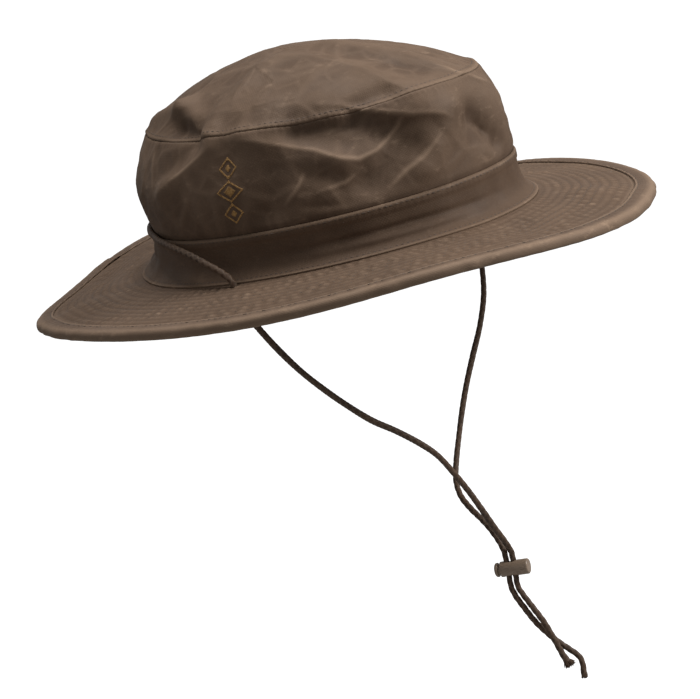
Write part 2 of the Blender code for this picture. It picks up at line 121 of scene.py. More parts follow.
CORD_LEFT_ROUTE = (
    (9.0, 95.6, -3.8), (9.8, 95.5, -11.0), (14.6, 93.2, -24.0), (21.4, 88.0, -41.0),
    (24.7, 79.0, -59.6), (23.4, 70.0, -75.6), (20.2, 60.6, -90.2), (17.9, 51.6, -103.2),
    (16.8, 43.0, -115.4), (16.7, 35.0, -126.2), (17.4, 26.6, -136.4), (19.8, 18.8, -144.2),
    (24.8, 12.6, -150.6), (32.0, 8.2, -155.8), (39.2, 5.2, -160.6), (45.0, 3.0, -165.6),
    (50.0, 0.8, -171.4), (53.0, -1.2, -176.4), (53.8, -2.5, -180.4), (54.2, -3.6, -184.9),
    (54.6, -4.8, -190.0), (55.2, -5.9, -194.4), (57.0, -6.4, -199.2), (59.7, -6.2, -204.8),
    (63.4, -4.4, -214.2), (67.8, -2.0, -222.2), (72.1, -0.2, -228.1), (76.5, 1.1, -232.5),
    (79.9, 1.7, -236.0), (81.4, 1.2, -239.4), (81.8, 0.1, -242.8), (82.1, -1.0, -246.5),
)


def walked_along(places):
    """The length walked along a line at each of its points."""
    steps = np.linalg.norm(np.diff(places, axis=0), axis=1)
    return np.concatenate(([0], np.cumsum(steps)))


def smooth_route(points):
    """Evenly spaced points of one smooth curve through a route, and its length."""
    route = [Vector(point) * ROUTE_UNIT for point in points]
    ends = [route[0] * 2 - route[1], *route, route[-1] * 2 - route[-2]]
    fine = []
    for index in range(len(route) - 1):
        before, start, end, after = ends[index:index + 4]
        for step in range(STEPS_BETWEEN):
            t = step / STEPS_BETWEEN
            fine.append(0.5 * (
                2 * start + (end - before) * t
                + (2 * before - 5 * start + 4 * end - after) * t ** 2
                + (3 * start - before - 3 * end + after) * t ** 3
            ))
    fine = np.array([*fine, route[-1]])
    walked = walked_along(fine)
    count = round(walked[-1] / CORD_STATION)
    stations = np.linspace(0, walked[-1], count + 1)
    places = np.stack([np.interp(stations, walked, fine[:, axis]) for axis in range(3)], axis=1)
    return places, float(walked[-1])


# %% [markdown]
# ## A grid that is bent into a piece
# A panel of cloth, a strip and a cord are all flat sheets that have been bent. A Curve object with
# a bevel, or a lattice, could bend them too, but only smoothly. Here `create_grid` makes the sheet
# once, a function says where each of its points goes, and the edges that meet are merged. The
# function may add creases, stitch lines or the strands of a plait on the way.

# %% Helpers for meshes
MERGE = 1e-6


def new_piece(name, shape, finish, smooth=True):
    """Turns a bmesh into an object at the origin with one material."""
    mesh = bpy.data.meshes.new(name)
    shape.to_mesh(mesh)
    shape.free()
    mesh.materials.append(finish)
    if smooth:
        mesh.shade_smooth()
    piece = bpy.data.objects.new(name, mesh)
    scene.collection.objects.link(piece)
    return piece


def bent_grid(columns, rows, place, pattern=None, capped=False):
    """A grid whose columns and rows, from 0 to 1, are bent by place. It returns places and masks."""
    shape = bmesh.new()
    bmesh.ops.create_grid(shape, x_segments=columns, y_segments=rows, size=1.0)
    flat = (np.array([vertex.co[:2] for vertex in shape.verts]) + 1) / 2
    places, masks = place(flat[:, 0], flat[:, 1])
    for name, values in masks.items():
        layer = shape.verts.layers.float.new(name)
        for vertex, value in zip(shape.verts, values):
            vertex[layer] = value
    if pattern:
        across, along = pattern
        layer = shape.loops.layers.uv.new("cloth")
        for face in shape.faces:
            for loop in face.loops:
                column, row = flat[loop.vert.index]
                loop[layer].uv = (column * across, row * along)
    for vertex, point in zip(shape.verts, places):
        vertex.co = point
    bmesh.ops.remove_doubles(shape, verts=shape.verts, dist=MERGE)
    if capped:
        bmesh.ops.holes_fill(shape, edges=[e for e in shape.edges if e.is_boundary], sides=0)
    bmesh.ops.recalc_face_normals(shape, faces=shape.faces)
    return shape


def unit(ways):
    return ways / np.linalg.norm(ways, axis=-1, keepdims=True)


def frames_along(places):
    """Two axes across a line at each of its points, turned as little as possible on the way."""
    ahead = unit(np.gradient(places, axis=0))
    across = np.zeros_like(ahead)
    across[0] = unit(np.cross(ahead[0], (0.6, 0.8, 0.0)))
    for step in range(1, len(places)):
        before = across[step - 1]
        across[step] = unit(before - ahead[step] * np.dot(before, ahead[step]))
    return across, np.cross(ahead, across)


def swept_tube(name, places, sides, reach, finish):
    """A capped tube along a line. reach gives its radius and masks from the station and the turn."""
    across, beside = frames_along(places)
    last = len(places) - 1

    def place(column, row):
        step = np.rint(row * last).astype(int)
        turn = 2 * np.pi * column
        radius, masks = reach(step, turn)
        way = across[step] * np.cos(turn)[:, None] + beside[step] * np.sin(turn)[:, None]
        return places[step] + way * radius[:, None], masks

    return new_piece(name, bent_grid(sides, last, place, capped=True), finish)


def triangles(piece):
    return sum(len(face.vertices) - 2 for face in piece.data.polygons)


def declare(piece, node=None, body="hat"):
    """Attaches a piece to the body that it rides on, hides the solid that it stands for and prints its
    triangles.
    """
    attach(piece, body)
    if node:
        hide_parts(node)
    print(piece.name, triangles(piece), "triangles")


def panel(name, grid, place, finish, node, pattern=None, wall=None):
    """A bent grid as a finished piece. A wall thickens it inwards."""
    piece = new_piece(name, bent_grid(*grid, place, pattern), finish)
    if wall:
        solid = piece.modifiers.new("wall", "SOLIDIFY")
        solid.thickness = wall
        solid.offset = -1.0
        solid.use_even_offset = True
    declare(piece, node)


print("mesh helpers ready")

# %% [markdown]
# ## Material groups
# Waxed cotton is a plain weave rubbed with wax. The wax lies unevenly, so the colour drifts in soft
# clouds, and it breaks and pales wherever the cloth is creased or rubbed. Two effects are used by
# several materials, so each is a node group: one for the clouded, worn wax and one for the weave.
# They give only colours, masks and heights, and every material sets its own values.

# %% Node groups
def new_group(name, inputs, outputs):
    """A node group. The kinds of its sockets are given by their labels."""
    group = bpy.data.node_groups.new(name, "ShaderNodeTree")
    for way, sockets in (("INPUT", inputs), ("OUTPUT", outputs)):
        for label, kind in sockets.items():
            group.interface.new_socket(label, in_out=way, socket_type="NodeSocket" + kind)
    return group, group.nodes.new("NodeGroupInput"), group.nodes.new("NodeGroupOutput")


def fill(tree, sockets, items):
    """Gives each socket its item: a link from another socket, or a plain value."""
    for socket, item in zip(sockets, items):
        if isinstance(item, bpy.types.NodeSocket):
            tree.links.new(item, socket)
        else:
            socket.default_value = item


def noise(tree, where, scale, detail, rough=0.5, stretch=None):
    """A Noise Texture on given coordinates, which may be stretched first."""
    if stretch:
        mapping = tree.nodes.new("ShaderNodeMapping")
        mapping.inputs["Scale"].default_value = stretch
        tree.links.new(where, mapping.inputs["Vector"])
        where = mapping.outputs["Vector"]
    made = tree.nodes.new("ShaderNodeTexNoise")
    sockets = [made.inputs[label] for label in ("Scale", "Detail", "Roughness", "Vector")]
    fill(tree, sockets, (scale, detail, rough, where))
    return made.outputs["Fac"]


def remap(tree, value, low, high, to_low=0.0, to_high=1.0):
    made = tree.nodes.new("ShaderNodeMapRange")
    made.interpolation_type = "SMOOTHSTEP"
    fill(tree, made.inputs, (value, low, high, to_low, to_high))
    return made.outputs["Result"]


def maths(tree, operation, *items):
    made = tree.nodes.new("ShaderNodeMath")
    made.operation = operation
    fill(tree, made.inputs, items)
    return made.outputs["Value"]


def blended(tree, amount, first, second):
    """A colour mixed from two sockets or plain colours by an amount."""
    made = tree.nodes.new("ShaderNodeMix")
    made.data_type = "RGBA"
    fill(tree, (made.inputs[0], made.inputs[6], made.inputs[7]), (amount, first, second))
    return made.outputs[2]


def wax_group():
    """Clouded wax that is worn pale on ridges, with painted shade that darkens the hollows."""
    group, inlet, outlet = new_group(
        "worn_wax",
        {"Where": "Vector", "Plain": "Color", "Dark": "Color", "Worn": "Color", "Ridge": "Float",
         "Hollow": "Float"},
        {"Color": "Color", "Roughness": "Float", "Height": "Float"},
    )
    where = inlet.outputs["Where"]
    clouds = remap(group, noise(group, where, 34, 4, 0.55), 0.34, 0.68)
    mottle = remap(group, noise(group, where, 260, 5, 0.62), 0.38, 0.66)
    specks = remap(group, noise(group, where, 1500, 2, 0.5), 0.56, 0.74)
    rubs = remap(group, noise(group, where, 95, 6, 0.7, (1, 1, 2.2)), 0.55, 0.72)
    colour = inlet.outputs["Plain"]
    # Clouds and mottle are the wax's own tone; the hollow mask adds painted shade to dents and grooves.
    for mask, share, tone in (
        (clouds, 0.45, "Dark"), (mottle, 0.16, "Dark"), (inlet.outputs["Hollow"], 0.75, "Dark"),
        (specks, 0.14, "Worn"),
    ):
        colour = blended(group, maths(group, "MULTIPLY", mask, share), colour, inlet.outputs[tone])
    worn = maths(group, "MULTIPLY", maths(group, "ADD", rubs, 0.85), inlet.outputs["Ridge"])
    worn = maths(group, "MINIMUM", maths(group, "MULTIPLY_ADD", rubs, 0.13, worn), 0.9)
    colour = blended(group, worn, colour, inlet.outputs["Worn"])
    dry = remap(group, noise(group, where, 60, 3), 0.3, 0.7, 0.56, 0.70)
    rough = maths(group, "MULTIPLY_ADD", worn, 0.14, dry)
    height = maths(group, "MULTIPLY_ADD", mottle, 0.35, maths(group, "MULTIPLY", rubs, 0.4))
    fill(group, outlet.inputs, (colour, rough, height))
    return group


def weave_group():
    """Threads over and under each other: a height and a mask from two coordinates in metres."""
    group, inlet, outlet = new_group(
        "plain_weave",
        {"Where": "Vector", "Pitch": "Float"},
        {"Height": "Float", "Threads": "Float"},
    )
    parts = group.nodes.new("ShaderNodeSeparateXYZ")
    group.links.new(inlet.outputs["Where"], parts.inputs["Vector"])
    turns = maths(group, "DIVIDE", math.pi, inlet.outputs["Pitch"])
    warp = maths(group, "SINE", maths(group, "MULTIPLY", parts.outputs["X"], turns))
    weft = maths(group, "SINE", maths(group, "MULTIPLY", parts.outputs["Y"], turns))
    both = maths(group, "MULTIPLY", warp, weft)
    threads = maths(group, "MAXIMUM", maths(group, "ABSOLUTE", warp), maths(group, "ABSOLUTE", weft))
    height = maths(group, "MULTIPLY_ADD", both, 0.25, threads)
    fill(group, outlet.inputs, (height, threads))
    return group


WORN_WAX = wax_group()
PLAIN_WEAVE = weave_group()
print("groups:", [group.name for group in bpy.data.node_groups])

# %% [markdown]
# ## Finishes
# The waxed cloth is matt and only a little glossy where the wax lies thick. The threads and the
# cord are plainer, and the lock is a satin moulding. Painted maps could hold all of this, but
# noise on the object's own coordinates needs no map and has no seams. The ridges that each mesh
# knows of decide where the wax has worn off, and its hollows get painted shade.

# %% Cloth, thread, cord and lock materials
def new_material(name, settings):
    """A material whose shader has the given settings, with coordinates for its textures."""
    made = bpy.data.materials.new(name)
    made.use_nodes = True
    shader = made.node_tree.nodes["Principled BSDF"]
    for label, value in settings.items():
        shader.inputs[label].default_value = value
    at = made.node_tree.nodes.new("ShaderNodeTexCoord").outputs
    return made, made.node_tree, shader, at


def placed(tree, group, **values):
    """A group in a material. A value is a number, a colour or a socket to link."""
    node = tree.nodes.new("ShaderNodeGroup")
    node.node_tree = group
    fill(tree, [node.inputs[label] for label in values], values.values())
    return node


def attribute(tree, name):
    node = tree.nodes.new("ShaderNodeAttribute")
    node.attribute_name = name
    return node.outputs["Fac"]


def bumped(tree, shader, height, strength, distance):
    node = tree.nodes.new("ShaderNodeBump")
    sockets = [node.inputs[label] for label in ("Strength", "Distance", "Height")]
    fill(tree, sockets, (strength, distance, height))
    tree.links.new(node.outputs["Normal"], shader.inputs["Normal"])


def cloth_material(name, plain, on_uv):
    """Waxed cotton. Its weave lies along the piece's own map, or flat on the brim and the tip."""
    made, tree, shader, at = new_material(name, {
        "Specular IOR Level": 0.16, "Sheen Weight": 0.03, "Sheen Roughness": 0.45,
        "Sheen Tint": (0.70, 0.56, 0.44, 1.0),
    })
    # The hollow mask paints shade into dents, seam grooves and stitch rows.
    wax = placed(tree, WORN_WAX, Where=at["Object"], Plain=plain, Dark=CLOTH_DARK,
                 Worn=CLOTH_WORN, Ridge=attribute(tree, "ridge"), Hollow=attribute(tree, "hollow_shade"))
    weave = placed(tree, PLAIN_WEAVE, Where=at["UV" if on_uv else "Object"], Pitch=THREAD_PITCH)
    colour = blended(tree, maths(tree, "MULTIPLY", weave.outputs["Threads"], 0.10),
                     wax.outputs["Color"], CLOTH_WORN)
    tree.links.new(colour, shader.inputs["Base Color"])
    tree.links.new(wax.outputs["Roughness"], shader.inputs["Roughness"])
    height = maths(tree, "MULTIPLY_ADD", weave.outputs["Height"], 0.55, wax.outputs["Height"])
    bumped(tree, shader, height, 0.45, 0.00022)
    return made


THREAD_PITCH = 0.0007
CLOTH_PLAIN = (0.108, 0.066, 0.041, 1.0)
CLOTH_DARK = (0.060, 0.036, 0.023, 1.0)
CLOTH_WORN = (0.280, 0.192, 0.131, 1.0)
BINDING_PLAIN = (0.130, 0.085, 0.058, 1.0)
side_cloth = cloth_material("waxed_cotton_panels", CLOTH_PLAIN, True)
flat_cloth = cloth_material("waxed_cotton_flat", CLOTH_PLAIN, False)
binding_cloth = cloth_material("waxed_binding", BINDING_PLAIN, True)


def thread_material(name, colour, pale):
    made, tree, shader, at = new_material(name, {"Roughness": 0.6, "Sheen Weight": 0.08})
    shade = remap(tree, noise(tree, at["Object"], 900, 3), 0.35, 0.65)
    tree.links.new(blended(tree, shade, colour, pale), shader.inputs["Base Color"])
    bumped(tree, shader, noise(tree, at["Object"], 5200, 1), 0.5, 0.0001)
    return made


brown_thread = thread_material("brown_thread", (0.052, 0.033, 0.022, 1.0), (0.095, 0.064, 0.043, 1.0))
gold_thread = thread_material("golden_thread", (0.300, 0.150, 0.040, 1.0), (0.440, 0.250, 0.080, 1.0))


def cord_material():
    """Dark waxed plait with a painted highlight on each strand's crown and painted shade between the
    strands; its tone drifts along the cord.
    """
    made, tree, shader, at = new_material("dark_cord", {"Roughness": 0.55, "Specular IOR Level": 0.25})
    drift = remap(tree, noise(tree, at["Object"], 70, 3), 0.38, 0.62)
    colour = blended(tree, drift, (0.062, 0.037, 0.023, 1.0), (0.092, 0.053, 0.032, 1.0))
    # Painted highlight: the strands' raised crowns are made paler and the grooves between them stay
    # dark.
    painted_strand_highlight = remap(tree, attribute(tree, "strand"), 0.35, 1.0)
    colour = blended(tree, maths(tree, "MULTIPLY", painted_strand_highlight, 0.55), colour, (0.150, 0.102, 0.070, 1.0))
    fibres = noise(tree, at["Object"], 2600, 3, 0.6)
    between = remap(tree, fibres, 0.55, 0.75, 0.0, 0.5)
    colour = blended(tree, between, colour, (0.022, 0.014, 0.010, 1.0))
    tree.links.new(colour, shader.inputs["Base Color"])
    bumped(tree, shader, fibres, 0.5, 0.0002)
    return made


def lock_material():
    """Satin brown moulding with faint streaks along it, like horn."""
    made, tree, shader, at = new_material("brown_moulding", {})
    streaks = noise(tree, at["UV"], 9, 5, 0.6, (0.4, 5.0, 1.0))
    streaks = remap(tree, streaks, 0.3, 0.7)
    colour = blended(tree, streaks, (0.210, 0.150, 0.106, 1.0), (0.360, 0.265, 0.190, 1.0))
    fine = noise(tree, at["Object"], 1400, 3)
    colour = blended(tree, remap(tree, fine, 0.52, 0.72, 0.0, 0.25), colour, (0.100, 0.070, 0.050, 1.0))
    tree.links.new(colour, shader.inputs["Base Color"])
    tree.links.new(remap(tree, fine, 0.3, 0.7, 0.30, 0.44), shader.inputs["Roughness"])
    bumped(tree, shader, fine, 0.25, 0.00012)
    return made


dark_cord = cord_material()
brown_moulding = lock_material()
print("materials:", [item.name for item in bpy.data.materials if not item.name.startswith("cad")])

# %% [markdown]
# ## The plaited cord
# The cord is a round plait about three millimetres thick. Its strands wind both ways and pass over
# each other. They could be separate curves, but at this size a tube whose radius follows both
# windings gives the same knobbly outline with one clean mesh. Each piece is attached to the hat in
# place of its solid, and its length is printed.

# %% Plaited cords
CORD_SIDES = 20
PLAIT_STRANDS = 3
PLAIT_PITCH = 0.0088
PLAIT_DEPTH = 0.10
END_SWELL = 0.004


def plait(length, swell):
    """The radius of the plait round a station, with its strand mask. Its end may swell."""
    def reach(step, turn):
        walked = step * CORD_STATION
        wind = 4 * np.pi * walked / PLAIT_PITCH / PLAIT_STRANDS
        one, other = (np.cos(PLAIT_STRANDS * (turn + way * wind)) for way in (1, -1))
        over = np.sqrt(np.clip(np.maximum(one, other), 0, 1))
        thick = 1 + 0.03 * np.sin(walked / 0.0131) + 0.02 * np.sin(walked / 0.0047)
        radius = CORD / 2 * (1 - PLAIT_DEPTH + PLAIT_DEPTH * over) * thick
        radius = radius * (1 + swell * np.exp(-(((length - walked) / END_SWELL) ** 2)))
        return radius, {"strand": over}
    return reach


for cord_name, route, swell in (
    ("chin_cord_back", CORD_BACK_ROUTE, 0.0),
    ("chin_cord_right", CORD_RIGHT_ROUTE, 0.25),
    ("chin_cord_left", CORD_LEFT_ROUTE, 0.12),
):
    line, cord_length = smooth_route(route)
    shape = plait(cord_length, swell)
    cord_piece = swept_tube("plaited_" + cord_name, line, CORD_SIDES, shape, dark_cord)
    declare(cord_piece, cord_name)
    print(cord_name, round(cord_length * 1000, 1), "mm long")

# %% [markdown]
# ## The hat's forms
# The band, the side panel, the tip and the brim follow the same named sizes and waves as the
# solids, so each dressed piece lies where its solid lies. Between the few rows of the solids
# the finer pieces have room for creases, and those are added in a later step.

# %% Sizes and waves of the hat
HEAD_LENGTH = 0.202
HEAD_WIDTH = 0.169
CLOTH = 0.0015
BRIM_PLY = 0.0026
BRIM_WIDTH = 0.0632
BRIM_DROP = 0.0076
BRIM_RISE = 0.0020
BAND_HEIGHT = 0.0225
FLARE = 0.0070
SIDE_HEIGHT = 0.0475
TIP_RISE = 0.0255
TAPER = 0.0107
BALLOON = 0.0059
FOLD_DEPTH = 0.0100
BRIM_FOLD = 0.0030
BINDING_WIDTH = 0.0095
BINDING_FLAP = 0.0009
HOLE_SETBACK = 0.0026
HOLE_FORWARD = 0.0090
OUTER_X = HEAD_LENGTH / 2 + CLOTH
OUTER_Y = HEAD_WIDTH / 2 + CLOTH

# Columns: waves in one turn, share along front and back, share along left and right
EDGE_WAVES = ((1, -0.24, -0.60), (2, 0.04, -0.25), (3, -0.30, 0.14), (4, 0.00, -0.43),
              (5, 0.04, 0.20), (6, -0.10, 0.00))
RISE_WAVES = ((1, -0.80, -0.35), (2, 0.12, -0.60))
TIP_SEAM_WAVES = ((1, -0.075, 0.007), (2, 0.003, -0.040))
TAPER_WAVES = ((1, -0.38, -0.35), (2, 0.08, 0.11))
BALLOON_WAVES = ((1, -0.60, 0.32), (2, -0.06, 0.18))

# Columns: angle and half width in degrees, depth. The second one is in the dressed pieces only.
PINCHES = ((182, 62, 0.0065), (222, 24, 0.0029))
# Columns: angle, half width in degrees, share of BRIM_FOLD, share of the width at the crease's top
BRIM_CREASES = (
    (231, 6, 0.80, 0.55), (18, 7, 1.00, 0.60), (346, 8, -0.70, 0.45), (318, 9, 0.35, 0.60),
    (196, 8, -0.40, 0.60), (132, 9, 0.60, 0.65), (70, 9, -0.50, 0.60),
)


def waves(size, mean, table, angle):
    share = mean
    for turns, along, across in table:
        share = share + along * np.cos(turns * angle) + across * np.sin(turns * angle)
    return size * share


def on_oval(offset, angle, height):
    x = (OUTER_X + offset) * np.cos(angle)
    y = (OUTER_Y + offset) * np.sin(angle)
    return np.stack(np.broadcast_arrays(x, y, height), axis=-1).astype(float)


def bump(distance, half_width):
    return np.exp(-((distance / half_width) ** 2))


def ramp(value, low, high):
    """A smooth step from 0 at low to 1 at high."""
    t = np.clip((value - low) / (high - low), 0, 1)
    return t * t * (3 - 2 * t)


def turn_between(angle, other):
    return (np.degrees(angle) - other + 180) % 360 - 180


def back_pinch(angle):
    """How far the cord draws the crown's foot in round the back."""
    return sum(depth * bump(turn_between(angle, middle), half) for middle, half, depth in PINCHES)


def brim_middle(angle, share):
    inner = waves(BRIM_RISE, 1.0, RISE_WAVES, angle) - BRIM_PLY / 2
    outer = waves(BRIM_DROP, -1.0, EDGE_WAVES, angle)
    reach = np.maximum(share, 0.0)
    height = inner + (outer - inner) * reach ** 1.25
    for crease_angle, half_width, height_share, peak in BRIM_CREASES:
        across = bump(turn_between(angle, crease_angle), half_width)
        along = bump(share - peak, 0.30) * np.minimum(1.0, reach / 0.2)
        height = height + BRIM_FOLD * height_share * across * along
    return height


def band_seam_height(angle):
    return BAND_HEIGHT + waves(BRIM_RISE, 1.0, RISE_WAVES, angle) / 2


def tip_seam_height(angle):
    return BAND_HEIGHT + SIDE_HEIGHT + waves(SIDE_HEIGHT, 0.0, TIP_SEAM_WAVES, angle)


def smooth_side(angle, up):
    taper = waves(TAPER, 1.0, TAPER_WAVES, angle)
    swell = waves(BALLOON, 1.0, BALLOON_WAVES, angle) * np.sin(np.pi * np.clip(up, 0, 1))
    offset = swell - taper * up - back_pinch(angle) * (1 - up)
    low = band_seam_height(angle)
    return on_oval(offset, angle, low + (tip_seam_height(angle) - low) * up)


def smooth_tip(angle, up):
    out = 1 - up
    taper = waves(TAPER, 1.0, TAPER_WAVES, angle)
    seam = on_oval(-taper, angle, 0.0)
    middle = np.array((-0.35 * TAPER, -0.27 * TAPER, 0))
    place = seam * out[..., None] + middle * (1 - out ** 2)[..., None]
    level = tip_seam_height(angle) * out ** 2 + (BAND_HEIGHT + SIDE_HEIGHT) * (1 - out ** 2)
    place[..., 2] = level + TIP_RISE * (1 - out ** 1.86)
    return place


def smooth_crown(angle, up):
    angle, up = np.atleast_1d(angle).astype(float), np.atleast_1d(up).astype(float)
    low = smooth_side(angle, np.minimum(up, 1))
    high = smooth_tip(angle, np.clip(up - 1, 0, 1))
    return np.where((up <= 1)[..., None], low, high)


print("head opening in mm:", round(HEAD_LENGTH * 1000), "by", round(HEAD_WIDTH * 1000))

# %% [markdown]
# ## Dents, folds and crumples
# Waxed cotton keeps every fold that it is packed with. The large dents are straight soft lines on
# the crown, each with a width and a height, as in the solids. Sharp creases run on through several
# places, and the raised ones carry a thin worn crest. Over both lies a crumple: the cloth breaks
# into small facets that meet in ridges, which is the pattern of cells round scattered points. A
# cloth simulation makes softer folds than wax does, and would not put them where the photograph
# has them, so the creases are listed one by one.

# %% Crown folds
# Columns: angle and height at the start and at the end, half width as a share of SIDE_HEIGHT,
# height as a share of FOLD_DEPTH. A height of 0 is the band seam, 1 the tip seam, 2 the middle.
CROWN_FOLDS = (
    (300, 0.88, 326, 0.74, 0.26, -0.66), (320, 1.00, 332, 1.04, 0.17, -0.45),
    (281, 0.96, 311, 0.50, 0.13, 0.20), (328, 0.92, 350, 0.74, 0.14, 0.30),
    (300, 0.46, 314, 0.28, 0.17, -0.22), (350, 0.95, 10, 0.72, 0.28, 0.24),
    (357, 0.58, 6, 0.22, 0.13, -0.26), (291, 0.55, 288, 0.14, 0.18, -0.24),
    (318, 0.22, 332, 0.46, 0.16, -0.28), (334, 0.24, 346, 0.56, 0.15, 0.20),
    (270, 0.92, 250, 0.52, 0.13, 0.24), (258, 0.80, 262, 0.92, 0.18, -0.30),
    (224, 0.16, 212, 0.60, 0.26, -0.22), (196, 0.80, 176, 0.62, 0.22, -0.34),
    (172, 0.30, 150, 0.66, 0.17, 0.28), (128, 0.78, 104, 0.62, 0.24, -0.40),
    (92, 0.90, 62, 0.44, 0.15, 0.30), (42, 0.66, 30, 0.36, 0.20, -0.26),
    (248, 1.10, 262, 1.06, 0.15, -0.52), (214, 1.12, 240, 1.28, 0.14, 0.30),
    (242, 1.26, 266, 1.05, 0.13, 0.34), (269, 1.10, 292, 1.62, 0.14, 0.18),
    (304, 1.73, 334, 1.56, 0.14, 0.10), (338, 1.45, 338, 1.08, 0.14, 0.12),
    (8, 1.66, 6, 1.10, 0.14, 0.26), (306, 1.28, 320, 1.14, 0.36, -0.16),
    (350, 1.52, 356, 1.14, 0.24, -0.26), (120, 1.34, 80, 1.22, 0.34, -0.30),
    (140, 1.12, 100, 1.50, 0.15, 0.18),
)
CREST = 0.00115  # half width of the worn line on a sharp crease
CREASE_POWER = 1.25  # 2 would be a soft bell, 1 a sharp knife fold
CREASE_END = 0.04  # share of a crease's length at either end that no longer fades
FAR = 9.0  # further than any place on the hat
# Sharp creases. Columns: half width and height in millimetres, and the places they run through.
CREASES = (
    (1.9, 1.0, ((304, 1.74), (327, 1.60), (334, 1.44), (337, 1.28), (337, 1.14), (340, 1.02))),
    (1.8, 0.9, ((304, 1.74), (286, 1.66), (269, 1.60), (268, 1.32), (271, 1.08))),
    (1.8, 0.9, ((269, 1.60), (242, 1.50), (248, 1.26), (238, 1.18), (230, 1.02))),
    (1.6, 0.9, ((253, 1.22), (260, 1.10), (271, 1.02))),
    (6.5, -0.8, ((242, 1.08), (248, 1.15))),
    (3.0, -1.1, ((185, 1.08), (228, 1.36), (233, 1.54))),
    (2.6, 1.0, ((270, 0.90), (258, 0.70), (244, 0.44))),
    (3.0, 1.0, ((238, 0.92), (244, 0.54))),
    (3.0, -0.9, ((248, 0.90), (252, 0.70))),
    (2.4, 1.1, ((276, 0.96), (286, 0.90), (296, 0.80), (304, 0.70), (310, 0.57), (316, 0.50),
                (322, 0.54), (327, 0.62), (331, 0.72), (334, 0.86))),
    (5.0, -2.6, ((300, 0.93), (311, 0.89), (322, 0.85))),
    (2.3, 1.5, ((310, 1.10), (318, 1.06), (323, 1.00), (330, 0.88), (335, 0.80), (340, 0.76),
                (345, 0.70), (347, 0.64))),
    (1.6, -1.3, ((359, 0.52), (2, 0.42), (5, 0.32))),
    (4.0, 1.5, ((344, 0.56), (335, 0.36), (328, 0.26), (322, 0.14))),
    (6.0, -1.6, ((326, 0.46), (322, 0.34), (317, 0.22))),
    (2.2, -1.4, ((297, 0.16), (304, 0.11), (311, 0.08))),
    (2.2, 0.9, ((302, 0.28), (310, 0.30), (314, 0.36))),
    (2.0, 0.7, ((292, 0.22), (297, 0.38), (299, 0.48))),
    (1.7, 0.9, ((4, 1.54), (1, 1.42), (359, 1.24), (1, 1.14), (2, 1.02))),
    (2.0, 1.1, ((7, 1.30), (3, 1.12), (2, 1.02), (9, 0.92), (26, 0.70))),
    (2.0, -1.0, ((350, 1.36), (355, 1.24), (356, 1.10))),
    (2.0, 0.9, ((120, 1.06), (104, 1.34), (70, 1.52), (30, 1.50))),
    (2.2, 1.0, ((60, 0.94), (74, 0.66), (71, 0.30))),
    (2.2, 1.1, ((142, 0.92), (150, 0.56), (166, 0.22))),
    (2.4, -1.3, ((128, 0.86), (133, 0.52), (150, 0.30))),
    (2.0, 1.0, ((192, 0.92), (186, 0.62), (205, 0.34))),
    (2.2, 0.9, ((98, 0.18), (91, 0.48), (110, 0.82))),
    (1.9, 0.9, ((30, 1.08), (42, 1.36), (20, 1.62))),
    (2.0, -1.0, ((160, 1.10), (172, 1.40), (200, 1.62))),
    (1.9, 0.9, ((150, 1.08), (160, 1.36), (182, 1.56))),
    (2.2, -1.1, ((40, 0.60), (52, 0.40), (48, 0.16))),
    (2.0, 0.9, ((214, 0.86), (220, 0.56), (212, 0.30))),
)


def on_crown(degrees, up):
    return smooth_crown(math.radians(degrees), up)[0]


def line_distance(places, start, end):
    way = end - start
    along = np.clip((places - start) @ way / (way @ way), 0, 1)
    return np.linalg.norm(places - start - along[..., None] * way, axis=-1), along


def crease_move(places):
    """The sharp creases: how far they move the cloth, and a mask of their worn crests."""
    move, worn = np.zeros(len(places)), np.zeros(len(places))
    for half_width, height, stations in CREASES:
        line = [on_crown(*station) for station in stations]
        nearest, nearest_along = np.full(len(places), FAR), np.zeros(len(places))
        for index, (start, end) in enumerate(zip(line, line[1:])):
            distance, along = line_distance(places, start, end)
            closer = distance < nearest
            nearest = np.where(closer, distance, nearest)
            nearest_along = np.where(closer, (index + along) / (len(line) - 1), nearest_along)
        fade = np.sqrt(np.sin(np.pi * np.clip(nearest_along, CREASE_END, 1 - CREASE_END)))
        fall = np.exp(-np.abs(nearest / (half_width * ROUTE_UNIT)) ** CREASE_POWER)
        move += height * ROUTE_UNIT * fade * fall
        if height > 0:
            worn = np.maximum(worn, fade * bump(nearest, CREST))
    return move, worn


FOLD_LINES = [
    (on_crown(angle_a, up_a), on_crown(angle_b, up_b), width * SIDE_HEIGHT, height * FOLD_DEPTH)
    for angle_a, up_a, angle_b, up_b, width, height in CROWN_FOLDS
]
CROWN_CENTRE = np.array((0, 0, BAND_HEIGHT + SIDE_HEIGHT * 0.25))
CRUMPLE_BOX = np.array(((-0.12, -0.10, 0.0), (0.12, 0.10, 0.11)))
CRUMPLE_STRIDE = 12  # one in so many points of the cloth tells which facets are near it
CRUMPLE_REACH = 1.6  # facets further off than so many spacings are left out
CRUMPLE_RIDGE = 0.16  # half width of a ridge in spacings
# Columns: spacing of the facets, height, share of the ridge, seed
CRUMPLES = ((0.026, 0.00070, 0.45, 11), (0.012, 0.00026, 0.35, 23))


def outward(places):
    """Directions away from the middle of the crown."""
    return unit(places - CROWN_CENTRE)


